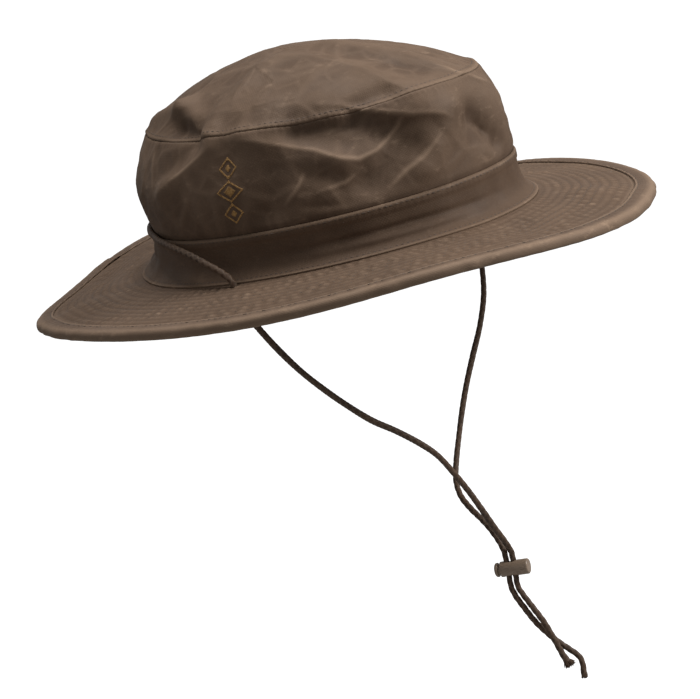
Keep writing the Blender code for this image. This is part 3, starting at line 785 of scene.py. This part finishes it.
def crumple(places, spacing, seed):
    """Facets round scattered points: a height from -1 to 1 and a mask of the ridges between them."""
    picker = np.random.default_rng(seed)
    low, high = CRUMPLE_BOX
    count = int(np.prod((high - low) / spacing))
    seeds = picker.uniform(low, high, (count, 3))
    tilt = unit(picker.normal(0, 1, (count, 3)))
    some = places[::CRUMPLE_STRIDE]
    squares = np.array([((some - item) ** 2).sum(axis=1).min() for item in seeds])
    close = squares < (spacing * CRUMPLE_REACH) ** 2
    seeds, tilt = seeds[close], tilt[close]
    first, second = np.full((2, len(places)), FAR)
    level = np.zeros(len(places))
    for seed_place, direction in zip(seeds, tilt):
        away = places - seed_place
        distance = np.linalg.norm(away, axis=1)
        nearer = distance < first
        second = np.where(nearer, first, np.minimum(second, distance))
        level = np.where(nearer, away @ direction / spacing, level)
        first = np.where(nearer, distance, first)
    edge = bump(second - first, spacing * CRUMPLE_RIDGE)
    return level * (1 - 0.6 * edge), edge


def creased(places):
    """How far the folds and crumples move the smooth crown, with a ridge mask and a mask of painted
    shade in the dents.
    """
    move, worn = crease_move(places)
    for start, end, half_width, height in FOLD_LINES:
        distance, _ = line_distance(places, start, end)
        move += height * bump(distance, half_width)
    ridge = np.maximum(np.clip(move / (FOLD_DEPTH * 0.5), 0, 0.22), worn)
    # Painted shade: the deeper a dent, the darker its cloth.
    hollow_shade = np.clip(-move / (FOLD_DEPTH * 0.7), 0, 1)
    for spacing, height, crest, seed in CRUMPLES:
        level, edge = crumple(places, spacing, seed)
        move += height * (level * 0.8 + edge * crest)
        ridge = np.maximum(ridge, edge * crest * 0.5)
    return move, ridge, hollow_shade


print("folds:", len(FOLD_LINES), "creases:", len(CREASES))

# %% [markdown]
# ## Side panel and tip
# Each is a panel of cloth bent into its place and thickened with Solidify. On the real hat the two
# meet in a seam whose allowance makes a low welt. It could be a separate strip, but a welt in the
# panels themselves leaves no gap. The foot of the side goes on behind the band.

# %% Side panel and tip
SEAM_LIFT = 0.0007
SEAM_PUCKER = 0.00016
SIDE_TUCK = 0.06  # share of its height by which the side panel goes on behind the band


def crown_place(angle, up):
    """The outer face of the dressed crown, from the band seam at 0 to the middle of the tip at 2."""
    smooth = smooth_crown(angle, up)
    smooth[..., 2] += (0.0002 + 0.0013 * ramp(up, 1.0, 1.2)) * ramp(up, 0.4, 1.0)
    move, ridge, hollow_shade = creased(smooth)
    from_seam = (up - 1) * np.where(up < 1, SIDE_HEIGHT, OUTER_Y)
    welt = SEAM_LIFT * (bump(from_seam - 0.0014, 0.0022) - 1.1 * bump(from_seam, 0.0007))
    tuck = -0.0005 * bump(up * SIDE_HEIGHT, 0.0016) - 0.0016 * ramp(-up, 0.0, 0.03)
    pucker = SEAM_PUCKER * np.sin(angle * 176) * bump(from_seam - 0.001, 0.0035)
    move = move * ramp(up, -0.02, 0.2) + welt + tuck + pucker
    ridge = np.maximum(ridge, bump(from_seam - 0.0010, 0.0010) * 0.65)
    # Painted shade in the seam's groove and on the side panel's foot under the band.
    hollow_shade = np.maximum(hollow_shade, bump(from_seam, 0.0006) * 0.8)
    hollow_shade = np.maximum(hollow_shade, bump(up * SIDE_HEIGHT, 0.0022) * 0.9)
    return smooth + outward(smooth) * move[..., None], {"ridge": ridge, "hollow_shade": hollow_shade}


def side_place(column, row):
    return crown_place(2 * np.pi * column, row * (1 + SIDE_TUCK) - SIDE_TUCK)


def tip_place(column, row):
    return crown_place(2 * np.pi * column, 1 + row ** 1.1)


ROUND_CROWN = math.pi * (OUTER_X + OUTER_Y)
SIDE_MAP = (ROUND_CROWN, SIDE_HEIGHT * 1.1)
panel("side_panel", (600, 56), side_place, side_cloth, "crown_side", SIDE_MAP, CLOTH)
panel("tip_panel", (500, 76), tip_place, flat_cloth, "crown_tip", None, CLOTH)

# %% [markdown]
# ## Band
# The band is one strip of cloth round the foot of the crown. Its upper edge is turned in and
# stitched over the side panel, and its lower edge spreads on the brim. A straight strip would
# look like card, so it has a fold's welt along the seam, a shallow drape all round and a soft sag
# where the photograph shows the cloth giving way.

# %% Band
BAND_RIDGE = 0.0007
BAND_FOLD = 0.0011
# Where the band sags over its foot. Columns: angle and half width in degrees
BAND_SAGS = ((322, 26), (214, 12))


def band_soft(angle):
    return sum(bump(turn_between(angle, middle), half) for middle, half in BAND_SAGS)


def band_place(angle, share):
    """The band from its foot on the brim at 0 to its seam at 1."""
    foot_top = brim_middle(angle, FLARE / BRIM_WIDTH) + BRIM_PLY / 2 + 0.0009
    height = foot_top + (band_seam_height(angle) - foot_top) * share
    flare = FLARE * np.exp(-share / 0.18) * (1 - share)
    pinch = back_pinch(angle) * (0.35 + 0.65 * share)
    below = (1 - share) * BAND_HEIGHT
    ridge = BAND_RIDGE * ramp(below, 0.0002, 0.0011) * (1 - ramp(below, 0.0042, 0.0056))
    drape = 0.00035 * np.sin(angle * 23 + 2 * np.sin(angle * 5)) * bump(share - 0.45, 0.3)
    pucker = 0.00012 * np.sin(angle * 168) * bump(below - 0.0015, 0.003)
    sag = BAND_FOLD * (bump(share - 0.26, 0.09) - bump(share - 0.42, 0.08)) * band_soft(angle)
    return on_oval(flare - pinch + ridge + drape + pucker + sag, angle, height)


def band_grid(column, row):
    share = row ** 1.7
    angle = 2 * np.pi * column
    below = (1 - share) * BAND_HEIGHT
    ridge = bump(below - 0.0009, 0.0009) * 0.45 + bump(share, 0.02) * 0.5
    ridge = ridge + bump(below - 0.005, 0.001) * 0.2
    # Painted shade low on the band and in its sags.
    hollow_shade = bump(share - 0.30, 0.14) * 0.35 + bump(share - 0.42, 0.08) * band_soft(angle) * 0.5
    return band_place(angle, share), {"ridge": ridge, "hollow_shade": hollow_shade}


BAND_MAP = (ROUND_CROWN, BAND_HEIGHT * 1.2)
panel("band", (520, 34), band_grid, side_cloth, "crown_band", BAND_MAP, CLOTH)

# %% [markdown]
# ## Brim
# Two plies of cloth with a stiffener between them are sewn together with rows of stitches all
# round. Each row draws the plies together, so the cloth stands up between the rows and puckers
# across them. The puckers could be a bump map, but then the edge of the brim would stay a smooth
# line. Here they are in the mesh, and a small round hole on each side takes the cord.

# %% Brim surface
STITCH_ROWS = 10
FIRST_ROW = FLARE / BRIM_WIDTH + 0.035
LAST_ROW = 1 - BINDING_WIDTH / BRIM_WIDTH - 0.045
ROW_SHARES = np.linspace(FIRST_ROW, LAST_ROW, STITCH_ROWS)
QUILT_DEPTH = 0.00044
PUCKER = 0.00034
HOLE_RADIUS = 0.0021
BRIM_START = -0.024  # share of the width at the inner edge, hidden under the band
BRIM_SETBACK = 0.0016  # how far the outer edge stays inside the binding


def quilting(angle, share):
    """How far the cloth stands up between the stitch rows, and a mask of the rows."""
    gap = ROW_SHARES[1] - ROW_SHARES[0]
    row = (share - FIRST_ROW) / gap
    inside = ramp(share, FIRST_ROW - gap * 0.6, FIRST_ROW)
    inside = inside * (1 - ramp(share, LAST_ROW, LAST_ROW + gap * 0.6))
    between = np.abs(np.sin(np.pi * row)) ** 0.7
    which = np.floor(row)
    wander = 1.7 * np.sin(which * 2.4 + angle * 3) + 1.1 * np.sin(which * 5.1 - angle * 7)
    small = np.sin(angle * 150 + wander * 2 + which * 1.9)
    small = small + 0.6 * np.sin(angle * 97 + which * 4.3 - wander)
    pucker = PUCKER * small * between * (0.55 + 0.45 * np.sin(angle * 11 + which * 1.3))
    lift = QUILT_DEPTH * (between - 0.5) + pucker
    return lift * inside, (1 - between) * inside


def brim_face(angle, share, side=1):
    """A point of the brim's upper face, or of its lower face when side is -1."""
    lift, _ = quilting(angle, share)
    places = on_oval(BRIM_WIDTH * share, angle, brim_middle(angle, share))
    places[..., 2] += side * (BRIM_PLY / 2 + lift)
    return places


def brim_section(column, row):
    """Round the brim's section: out along the upper face and back along the lower one."""
    angle = 2 * np.pi * column
    reach = 1 - BRIM_SETBACK / BRIM_WIDTH - BRIM_START
    share = BRIM_START + reach * (1 - np.abs(2 * row - 1))
    side = np.sign(np.round(0.5 - row, 6)) * (np.minimum(row, 1 - row) > MERGE)
    lift, rows = quilting(angle, share)
    ridge = np.clip(lift / QUILT_DEPTH, 0, 1) * 0.28 + bump(share - 0.835, 0.02) * 0.3
    # Painted shade along the stitch rows between the puffs.
    hollow_shade = np.clip(rows, 0, 1) ** 3 * 0.55
    return brim_face(angle, share, side), {"ridge": ridge, "hollow_shade": hollow_shade}


def open_hole(shape, side):
    """Takes the faces out where the cord goes through, rounds the two edges and joins them."""
    centre = Vector((HOLE_FORWARD, side * (OUTER_Y + FLARE + HOLE_SETBACK)))
    inside = [v for v in shape.verts if (v.co.xy - centre).length < HOLE_RADIUS * 0.8]
    bmesh.ops.delete(shape, geom=inside, context="VERTS")
    rim = [v for v in shape.verts if v.is_boundary and (v.co.xy - centre).length < HOLE_RADIUS * 2.5]
    for vertex in rim:
        vertex.co.xy = centre + (vertex.co.xy - centre).normalized() * HOLE_RADIUS
    edges = list({edge for vertex in rim for edge in vertex.link_edges if edge.is_boundary})
    bmesh.ops.bridge_loops(shape, edges=edges)


brim_shape = bent_grid(640, 134, brim_section)
for side in (-1, 1):
    open_hole(brim_shape, side)
bmesh.ops.recalc_face_normals(brim_shape, faces=brim_shape.faces)
brim = new_piece("stitched_brim", brim_shape, flat_cloth)
declare(brim, "brim")
print("stitch rows", round((ROW_SHARES[1] - ROW_SHARES[0]) * BRIM_WIDTH * 1000, 1), "mm apart")

# %% [markdown]
# ## The bound edge
# A bias strip is folded over the raw edge of the brim and stitched through. On the real hat it is
# soft and full, with small puckers where it turns, and its ends cross at the centre of the back.
# One section swept round the edge gives the roll, and the puckers and the lap go into the mesh.

# %% Edge binding
BINDING_HALF = BRIM_PLY / 2 + 0.0003 + BINDING_FLAP
BINDING_STRIP = 0.022
LAP_ANGLE = 179.2
LAP_SLANT = 180  # degrees round the hat for a metre inwards
# Columns: distance in from the outer edge in mm, height as a share of BINDING_HALF
BINDING_SECTION = (
    (0.0, 0.00), (0.08, 0.30), (0.35, 0.60), (0.9, 0.86), (1.8, 1.03), (3.0, 1.10), (4.6, 1.07),
    (6.2, 1.00), (7.4, 0.93), (8.1, 0.86), (8.7, 0.90), (9.2, 0.92), (9.5, 0.84), (9.62, 0.62),
)


def binding_place(column, row):
    angle = 2 * np.pi * column
    lower = [(inset, -high) for inset, high in BINDING_SECTION]
    table = np.array([*reversed(lower), *BINDING_SECTION[1:]])
    inset, high = (np.interp(row * (len(table) - 1), np.arange(len(table)), part) for part in table.T)
    inset, high = inset * ROUTE_UNIT, high * BINDING_HALF
    wander = 2.2 * np.sin(angle * 9) + 1.4 * np.sin(angle * 23 + 1)
    small = np.sin(angle * 131 + wander) + 0.7 * np.sin(angle * 83 - wander)
    side = np.sign(high)
    pucker = 0.00013 * small * bump(inset - 0.0062, 0.0034) * side
    roll = 0.00022 * np.sin(angle * 37 + wander) * bump(inset, 0.002)
    diagonal = turn_between(angle, LAP_ANGLE) + inset * LAP_SLANT
    lap = 0.00055 * ramp(diagonal, -0.12, 0.12) * (1 - ramp(diagonal, 3.5, 8.0)) * side
    share = 1 - (inset + roll) / BRIM_WIDTH
    places = on_oval(BRIM_WIDTH * share, angle, brim_middle(angle, share) + high + pucker + lap)
    ridge = bump(inset - 0.0012, 0.0022) * 0.75 + bump(inset - 0.0090, 0.0006) * 0.6
    ridge = ridge + bump(diagonal, 0.25) * 0.5
    # Painted shade in the groove at the binding's inner fold and under the end of the lap.
    hollow_shade = bump(inset - 0.0081, 0.0005) * 0.6 + bump(diagonal + 0.35, 0.22) * 0.7
    return places, {"ridge": np.clip(ridge, 0, 1), "hollow_shade": np.clip(hollow_shade, 0, 1)}


ROUND_EDGE = 2 * math.pi * ((OUTER_X + OUTER_Y) / 2 + BRIM_WIDTH)
EDGE_MAP = (ROUND_EDGE, BINDING_STRIP)
panel("bound_edge", (900, 26), binding_place, binding_cloth, "edge_binding", EDGE_MAP)

# %% [markdown]
# ## Stitches
# A row of lockstitches is hundreds of short threads that dip into the cloth at both ends. Blender
# could instance one along a curve with geometry nodes, but the export needs plain meshes. One
# thread is made from a small sphere, it is doubled with `duplicate` until there are enough, and
# every copy is put in its place on the cloth, so a row is one light mesh.

# %% Stitch makers
def copies(shape, count):
    """Doubles a whole shape until there are enough copies of it, one after another."""
    template = bpy.data.meshes.new("template")
    shape.to_mesh(template)
    shape.free()
    many = bmesh.new()
    many.from_mesh(template)
    corners = len(template.vertices)
    while len(many.verts) < count * corners:
        bmesh.ops.duplicate(many, geom=[*many.verts, *many.edges, *many.faces])
    bmesh.ops.delete(many, geom=[*many.verts][count * corners:], context="VERTS")
    bpy.data.meshes.remove(template)
    return many, corners


def threads(name, middles, ahead, outwards, lengths, width, finish, height=0.7,
            slot="waxed_cotton"):
    """One thread at each place, lying along ahead and arched away from the cloth."""
    shape = bmesh.new()
    bmesh.ops.create_uvsphere(shape, u_segments=6, v_segments=5, radius=1.0,
                              matrix=Matrix.Rotation(math.pi / 2, 4, "Y"))
    count = len(middles)
    shape, corners = copies(shape, count)
    local = np.array([vertex.co[:] for vertex in shape.verts]).reshape(count, corners, 3)
    ahead = unit(ahead)
    outwards = unit(outwards - ahead * np.sum(ahead * outwards, axis=1)[:, None])
    beside = np.cross(outwards, ahead)
    lengths = np.broadcast_to(lengths, count)[:, None]
    x = local[..., 0] * lengths / 2
    y = local[..., 1] * width / 2
    z = local[..., 2] * width / 2 * height + width * 0.12 * (1 - 2.4 * local[..., 0] ** 2)
    places = (middles[:, None] + ahead[:, None] * x[..., None] + beside[:, None] * y[..., None]
              + outwards[:, None] * z[..., None]).reshape(-1, 3)
    for vertex, point in zip(shape.verts, places):
        vertex.co = point
    piece = new_piece(name, shape, finish)
    declare(piece)
    return piece


def row_places(face, share, pitch, phase=0.0):
    """Middles, directions and outward ways of the stitches of one row round the hat."""
    fine = np.linspace(0, 2 * np.pi, 1441)
    line = face(fine, np.full_like(fine, share))
    walked = walked_along(line)
    count = round(walked[-1] / pitch)
    at = np.interp((np.arange(count) + phase) / count * walked[-1], walked, fine)
    level = np.full(count, share)
    step = 0.4 * pitch / OUTER_X
    middle = (face(at - step, level) + face(at + step, level)) / 2
    ahead = face(at + step, level) - face(at - step, level)
    up = face(at, level + 0.004) - face(at, level - 0.004)
    return middle, ahead, np.cross(ahead, up)


def stitch_rows(name, face, shares, pitch, inwards):
    phases = np.modf(np.arange(len(shares)) * ROW_PHASE)[0]
    rows = [row_places(face, share, pitch, phase) for phase, share in zip(phases, shares)]
    middles, ahead, outwards = (np.concatenate(part) for part in zip(*rows))
    threads(name, middles, ahead, outwards * inwards, pitch * STITCH_SHARE, THREAD, brown_thread)
    print(name, len(middles), "stitches")


# %% [markdown]
# ## Where the stitches lie
# Ten rows hold the two plies of the brim together, with the same stitches above and below. One
# row runs near the inner edge of the binding, one beside the tip's seam, one along the turned edge
# of the band and one at its foot. They could be a texture, but thread that stands up catches the
# light. Each row follows the same surface as its cloth, so it never floats or sinks.

# %% Stitch rows on the brim, the binding and the seams
THREAD = 0.00042
BRIM_PITCH = 0.0031
SEAM_PITCH = 0.0027
ROW_PHASE = 0.37  # each row starts so much of a stitch further on
STITCH_SHARE = 0.72  # length of the thread that shows, as a share of the pitch
BINDING_ROW = 1 - 0.0081 / BRIM_WIDTH
TIP_ROW = 1 + 0.0030 / OUTER_Y
BAND_ROW = 1 - 0.0017 / BAND_HEIGHT
FOOT_ROW = 0.045


def crown_face(angle, up):
    return crown_place(angle, up)[0]


def binding_face(angle, share, side=1):
    places = on_oval(BRIM_WIDTH * share, angle, brim_middle(angle, share))
    places[..., 2] += side * BINDING_HALF * 0.87
    return places


def underside(face):
    return lambda angle, share: face(angle, share, -1)


for name, face, shares, pitch, inwards in (
    ("brim_stitches", brim_face, ROW_SHARES, BRIM_PITCH, -1),
    ("brim_stitches_under", underside(brim_face), ROW_SHARES, BRIM_PITCH, 1),
    ("binding_stitches", binding_face, (BINDING_ROW,), BRIM_PITCH, -1),
    ("binding_stitches_under", underside(binding_face), (BINDING_ROW,), BRIM_PITCH, 1),
    ("tip_seam_stitches", crown_face, (TIP_ROW,), SEAM_PITCH, 1),
    ("band_seam_stitches", band_place, (BAND_ROW,), SEAM_PITCH, 1),
    ("band_foot_stitches", band_place, (FOOT_ROW,), SEAM_PITCH, 1),
):
    stitch_rows(name, face, shares, pitch, inwards)

# %% [markdown]
# ## A small sewn motif
# On the wearer's right the cloth carries a small sign in golden thread. Here it is a plain stack
# of three lozenges, each a border round a filled heart, sewn in close level threads. A picture of
# it would lie flat, but threads that ask the crown's own surface for their place follow its dents.

# %% Motif in golden thread
MOTIF_ANGLE = 276.6
MOTIF_LOW, MOTIF_HIGH = 0.12, 0.80
MOTIF_WIDTH = 0.0160
MOTIF_BORDER = 0.0017
MOTIF_GAP = 0.00050
MOTIF_THREAD = 0.00068
SHORTEST = 0.0004
# Columns: share of MOTIF_WIDTH and of MOTIF_BORDER, from the lowest lozenge up
LOZENGES = ((0.72, 0.85), (1.0, 1.0), (0.72, 0.85))


def motif_lines():
    """Level threads as rows of: height share, left end and right end in metres."""
    tall = (MOTIF_HIGH - MOTIF_LOW) * SIDE_HEIGHT
    lines = []
    for index in range(round(tall / MOTIF_GAP)):
        share = (index + 0.5) * MOTIF_GAP / tall
        which, inside = divmod(share * len(LOZENGES), 1)
        wide, border = LOZENGES[int(which)]
        half = (1 - abs(2 * inside - 1)) * MOTIF_WIDTH / 2 * wide
        inner = half - MOTIF_BORDER * border
        if inner > SHORTEST:
            lines += [(share, -half, -inner), (share, inner, half)]
        elif half > SHORTEST:
            lines.append((share, -half, half))
        if inner > MOTIF_BORDER * 1.6:
            heart = inner - MOTIF_BORDER * 1.3
            lines.append((share, -heart, heart))
    return lines


motif_rows = []
for share, left, right in motif_lines():
    up = np.array([MOTIF_LOW + (MOTIF_HIGH - MOTIF_LOW) * share])
    start, end = (crown_face(np.radians([MOTIF_ANGLE]) + x / OUTER_X, up)[0] for x in (left, right))
    above = crown_face(np.radians([MOTIF_ANGLE]) + left / OUTER_X, up + 0.02)[0]
    way = end - start
    motif_rows.append(((start + end) / 2, way, np.cross(way, above - start), np.linalg.norm(way)))
motif_parts = (np.array(part) for part in zip(*motif_rows))
threads("sewn_motif", *motif_parts, MOTIF_THREAD, gold_thread, 0.9)
print("motif", len(motif_rows), "threads")

# %% [markdown]
# ## Cord lock
# The lock is a hollow barrel with a spring button in one end. Both have a slot, and the spring
# holds the slots out of line so that they grip the cords. The solids have the right forms but few
# facets. Here the same profiles are spun with fine steps, their rims are rounded, and the slot is
# taken out with a Boolean whose result is applied.

# %% Cord lock pieces
LOCK_DIAMETER = 0.0080
LOCK_WALL = 0.0010
BARREL_LENGTH = 0.0150
BUTTON_THICKNESS = 0.0018
BUTTON_DIAMETER = 0.0074
BUTTON_STROKE = 0.0010
LOCK_REST_GAP = 0.0012
GAP = 0.0003
SLOT_HALF = CORD + GAP * 2
LOCK_PLACE = (0.0559, -0.0030, -0.1849)
LOCK_AXIS = (0.949, 0.315, -0.004)
LOCK_THROUGH = (0.075, -0.238, -0.968)


def lock_frame():
    along = Vector(LOCK_AXIS).normalized()
    through = Vector(LOCK_THROUGH)
    through = (through - along * through.dot(along)).normalized()
    across = through.cross(along)
    return Matrix.Translation(LOCK_PLACE) @ Matrix((along, across, through)).transposed().to_4x4()


def spun(profile, steps=56):
    """A solid of revolution about X, with a map that runs along and round it."""
    shape = bmesh.new()
    corners = [shape.verts.new((along, radius, 0)) for along, radius in profile]
    edges = [shape.edges.new(pair) for pair in zip(corners, corners[1:])]
    bmesh.ops.spin(shape, geom=corners + edges, axis=(1, 0, 0), cent=(0, 0, 0),
                   steps=steps, angle=2 * math.pi, use_merge=True)
    bmesh.ops.remove_doubles(shape, verts=shape.verts, dist=MERGE)
    bmesh.ops.recalc_face_normals(shape, faces=shape.faces)
    layer = shape.loops.layers.uv.new("along")
    for face in shape.faces:
        for loop in face.loops:
            x, y, z = loop.vert.co
            loop[layer].uv = (x * 100, math.atan2(z, y) / math.pi)
    return shape


def rounded(corner, radius, way_in, way_out, steps=5):
    """Points of a quarter round at a corner, from the way in to the way out."""
    x, y = corner
    points = []
    for step in range(steps + 1):
        turn = math.pi / 2 * step / steps
        inwards, onwards = radius * (1 - math.sin(turn)), radius * (1 - math.cos(turn))
        points.append((x - way_in[0] * inwards + way_out[0] * onwards,
                       y - way_in[1] * inwards + way_out[1] * onwards))
    return points


def slotted(piece, start, end):
    """Cuts the cords' slot through a lock piece in the lock's own frame, and applies the cut."""
    shape = bmesh.new()
    radius = SLOT_HALF / 2
    for centre in (start + radius, end - radius):
        bmesh.ops.create_circle(shape, segments=32, radius=radius, cap_ends=False,
                                matrix=Matrix.Translation((centre, 0, -LOCK_DIAMETER)))
    bmesh.ops.delete(shape, geom=[*shape.edges], context="EDGES_FACES")
    bmesh.ops.convex_hull(shape, input=shape.verts)
    bmesh.ops.dissolve_limit(shape, angle_limit=0.01, verts=shape.verts, edges=shape.edges)
    raised = bmesh.ops.extrude_face_region(shape, geom=[*shape.faces])["geom"]
    tops = [item for item in raised if isinstance(item, bmesh.types.BMVert)]
    bmesh.ops.translate(shape, verts=tops, vec=(0, 0, LOCK_DIAMETER * 2))
    bmesh.ops.recalc_face_normals(shape, faces=shape.faces)
    cutter = new_piece("slot_cutter", shape, brown_moulding, False)
    cut = piece.modifiers.new("slot", "BOOLEAN")
    cut.object = cutter
    cut.operation = "DIFFERENCE"
    cut.solver = "EXACT"
    evaluated = piece.evaluated_get(bpy.context.evaluated_depsgraph_get())
    applied = bpy.data.meshes.new_from_object(evaluated)
    piece.modifiers.clear()
    piece.data = applied
    bpy.data.objects.remove(cutter, do_unlink=True)
    applied.transform(lock_frame())
    applied.shade_smooth()
    applied.set_sharp_from_angle(angle=math.radians(35))


barrel_start = -SLOT_HALF - LOCK_WALL * 1.5
barrel_end = barrel_start + BARREL_LENGTH
outer = LOCK_DIAMETER / 2
bore = outer - LOCK_WALL
bore_end = barrel_end - LOCK_WALL * 1.5
barrel_profile = [
    (bore_end, 0), (bore_end, bore), (barrel_start, bore),
    *rounded((barrel_start, outer), 0.0004, (0, 1), (1, 0)),
    *rounded((barrel_end, outer), 0.0009, (1, 0), (0, -1)),
    (barrel_end, 0),
]
stem = bore - GAP
stem_end = bore_end - BUTTON_STROKE - LOCK_WALL
button_face = barrel_start - LOCK_REST_GAP
button_end = button_face - BUTTON_THICKNESS
rim = BUTTON_DIAMETER / 2
button_profile = [
    (stem_end, 0), (stem_end, stem), (button_face, stem),
    *rounded((button_face, rim), 0.0003, (0, 1), (-1, 0)),
    *rounded((button_end, rim), 0.0012, (-1, 0), (0, -1)),
    (button_end - 0.0002, rim * 0.35), (button_end - 0.00025, 0),
]
for lock_name, profile, body, slot_start in (
    ("barrel", barrel_profile, "hat", -SLOT_HALF),
    ("button", button_profile, "button", -SLOT_HALF - BUTTON_STROKE),
):
    lock_piece = new_piece("cord_lock_" + lock_name, spun(profile), brown_moulding)
    slotted(lock_piece, slot_start, SLOT_HALF)
    declare(lock_piece, "lock_" + lock_name, body)

# %% [markdown]
# ## Frayed ends
# One tail ends in a little brush of loose fibres and the other is cut nearly clean. Hair particles
# could make them, but they would not come through an export, so each fibre is a thin thread of the
# same kind as a stitch, leaning out from the end of the cord.

# %% Fibres at the cord's ends
picker = np.random.default_rng(7)


def fibres(name, route, count, length, spread, back_by):
    places, _ = smooth_route(route)
    end, ahead = places[-1 - back_by], unit(places[-1] - places[-6])
    across = unit(np.cross(ahead, (0.3, 0.9, 0.2)))
    beside = np.cross(ahead, across)
    turns = picker.uniform(0, 2 * np.pi, count)
    reach = np.sqrt(picker.uniform(0.02, 1, count))
    way = across * np.cos(turns)[:, None] + beside * np.sin(turns)[:, None]
    lean = unit(ahead + way * (reach * spread * picker.uniform(0.5, 1.2, count))[:, None])
    sizes = length * picker.uniform(0.6, 1.0, count)
    middles = end + way * (reach * CORD * 0.42)[:, None] + lean * (sizes * 0.42)[:, None]
    return threads(name, middles, lean, way, sizes, THREAD, dark_cord, 1.0, "cord")


right_fray = fibres("frayed_end_right", CORD_RIGHT_ROUTE, 210, 0.0050, 0.75, 6)
left_fray = fibres("frayed_end_left", CORD_LEFT_ROUTE, 60, 0.0018, 0.30, 2)

# %% [markdown]
# ## The cord's three stretches
# The real cord is limp and slides. The stretch round the back ends in the other hole, and the two
# tails end bare. The lock and the fibres hang on the tails and would move with them, but here the
# fibres, named after their tail, ride on the hat with the cords and the barrel, and the button on its
# own body.

# %% [markdown]
# ## Floor and light
# The hat is held up as a head would hold it, so the floor lies well below the end of the cord. The
# photograph is a plain studio picture: a wide soft light from above, which makes the brim pale and
# leaves the side of the crown in its own shade, and a second one from the right of the picture,
# which draws the creases. The camera sees the floor and the world as plain white paper.

# %% Floor, lights and world
FLOOR_HEIGHT = -0.62
FLOOR_GREY = 0.42
FLOOR_GLOW = 0.95
AMBIENT = 0.30
HAT_MIDDLE = (0, 0, 0.03)
WHITE = (1.0, 1.0, 1.0, 1.0)
floor_shape = bmesh.new()
bmesh.ops.create_grid(floor_shape, x_segments=1, y_segments=1, size=60,
                      matrix=Matrix.Translation((0, 0, FLOOR_HEIGHT)))
floor_paint, floor_tree, floor_shader, _ = new_material("pale_floor", {
    "Roughness": 0.9, "Base Color": (FLOOR_GREY, FLOOR_GREY, FLOOR_GREY, 1.0), "Emission Color": WHITE,
})
seen = floor_tree.nodes.new("ShaderNodeLightPath").outputs["Is Camera Ray"]
glow = maths(floor_tree, "MULTIPLY", seen, FLOOR_GLOW)
floor_tree.links.new(glow, floor_shader.inputs["Emission Strength"])
floor_piece = new_piece("floor", floor_shape, floor_paint, False)

# Columns: name, place and size in metres, watts
for name, place, size, watts in (
    ("overhead", (0.05, 0.25, 1.45), 0.8, 15), ("from_the_right", (1.30, 0.65, 0.75), 0.6, 21),
):
    lamp = bpy.data.lights.new(name, "AREA")
    lamp.shape = "DISK"
    lamp.size = size
    lamp.energy = watts
    light = bpy.data.objects.new(name, lamp)
    light.location = place
    light.rotation_euler = (Vector(HAT_MIDDLE) - Vector(place)).to_track_quat("-Z", "Y").to_euler()
    scene.collection.objects.link(light)

world = bpy.data.worlds.new("studio")
scene.world = world
world.use_nodes = True
background = world.node_tree.nodes["Background"]
background.inputs["Color"].default_value = WHITE
seen = world.node_tree.nodes.new("ShaderNodeLightPath").outputs["Is Camera Ray"]
strength = remap(world.node_tree, seen, 0.0, 1.0, AMBIENT, 1.0)
world.node_tree.links.new(strength, background.inputs["Strength"])
scene.view_settings.view_transform = "Standard"
print("floor at", FLOOR_HEIGHT, "m")
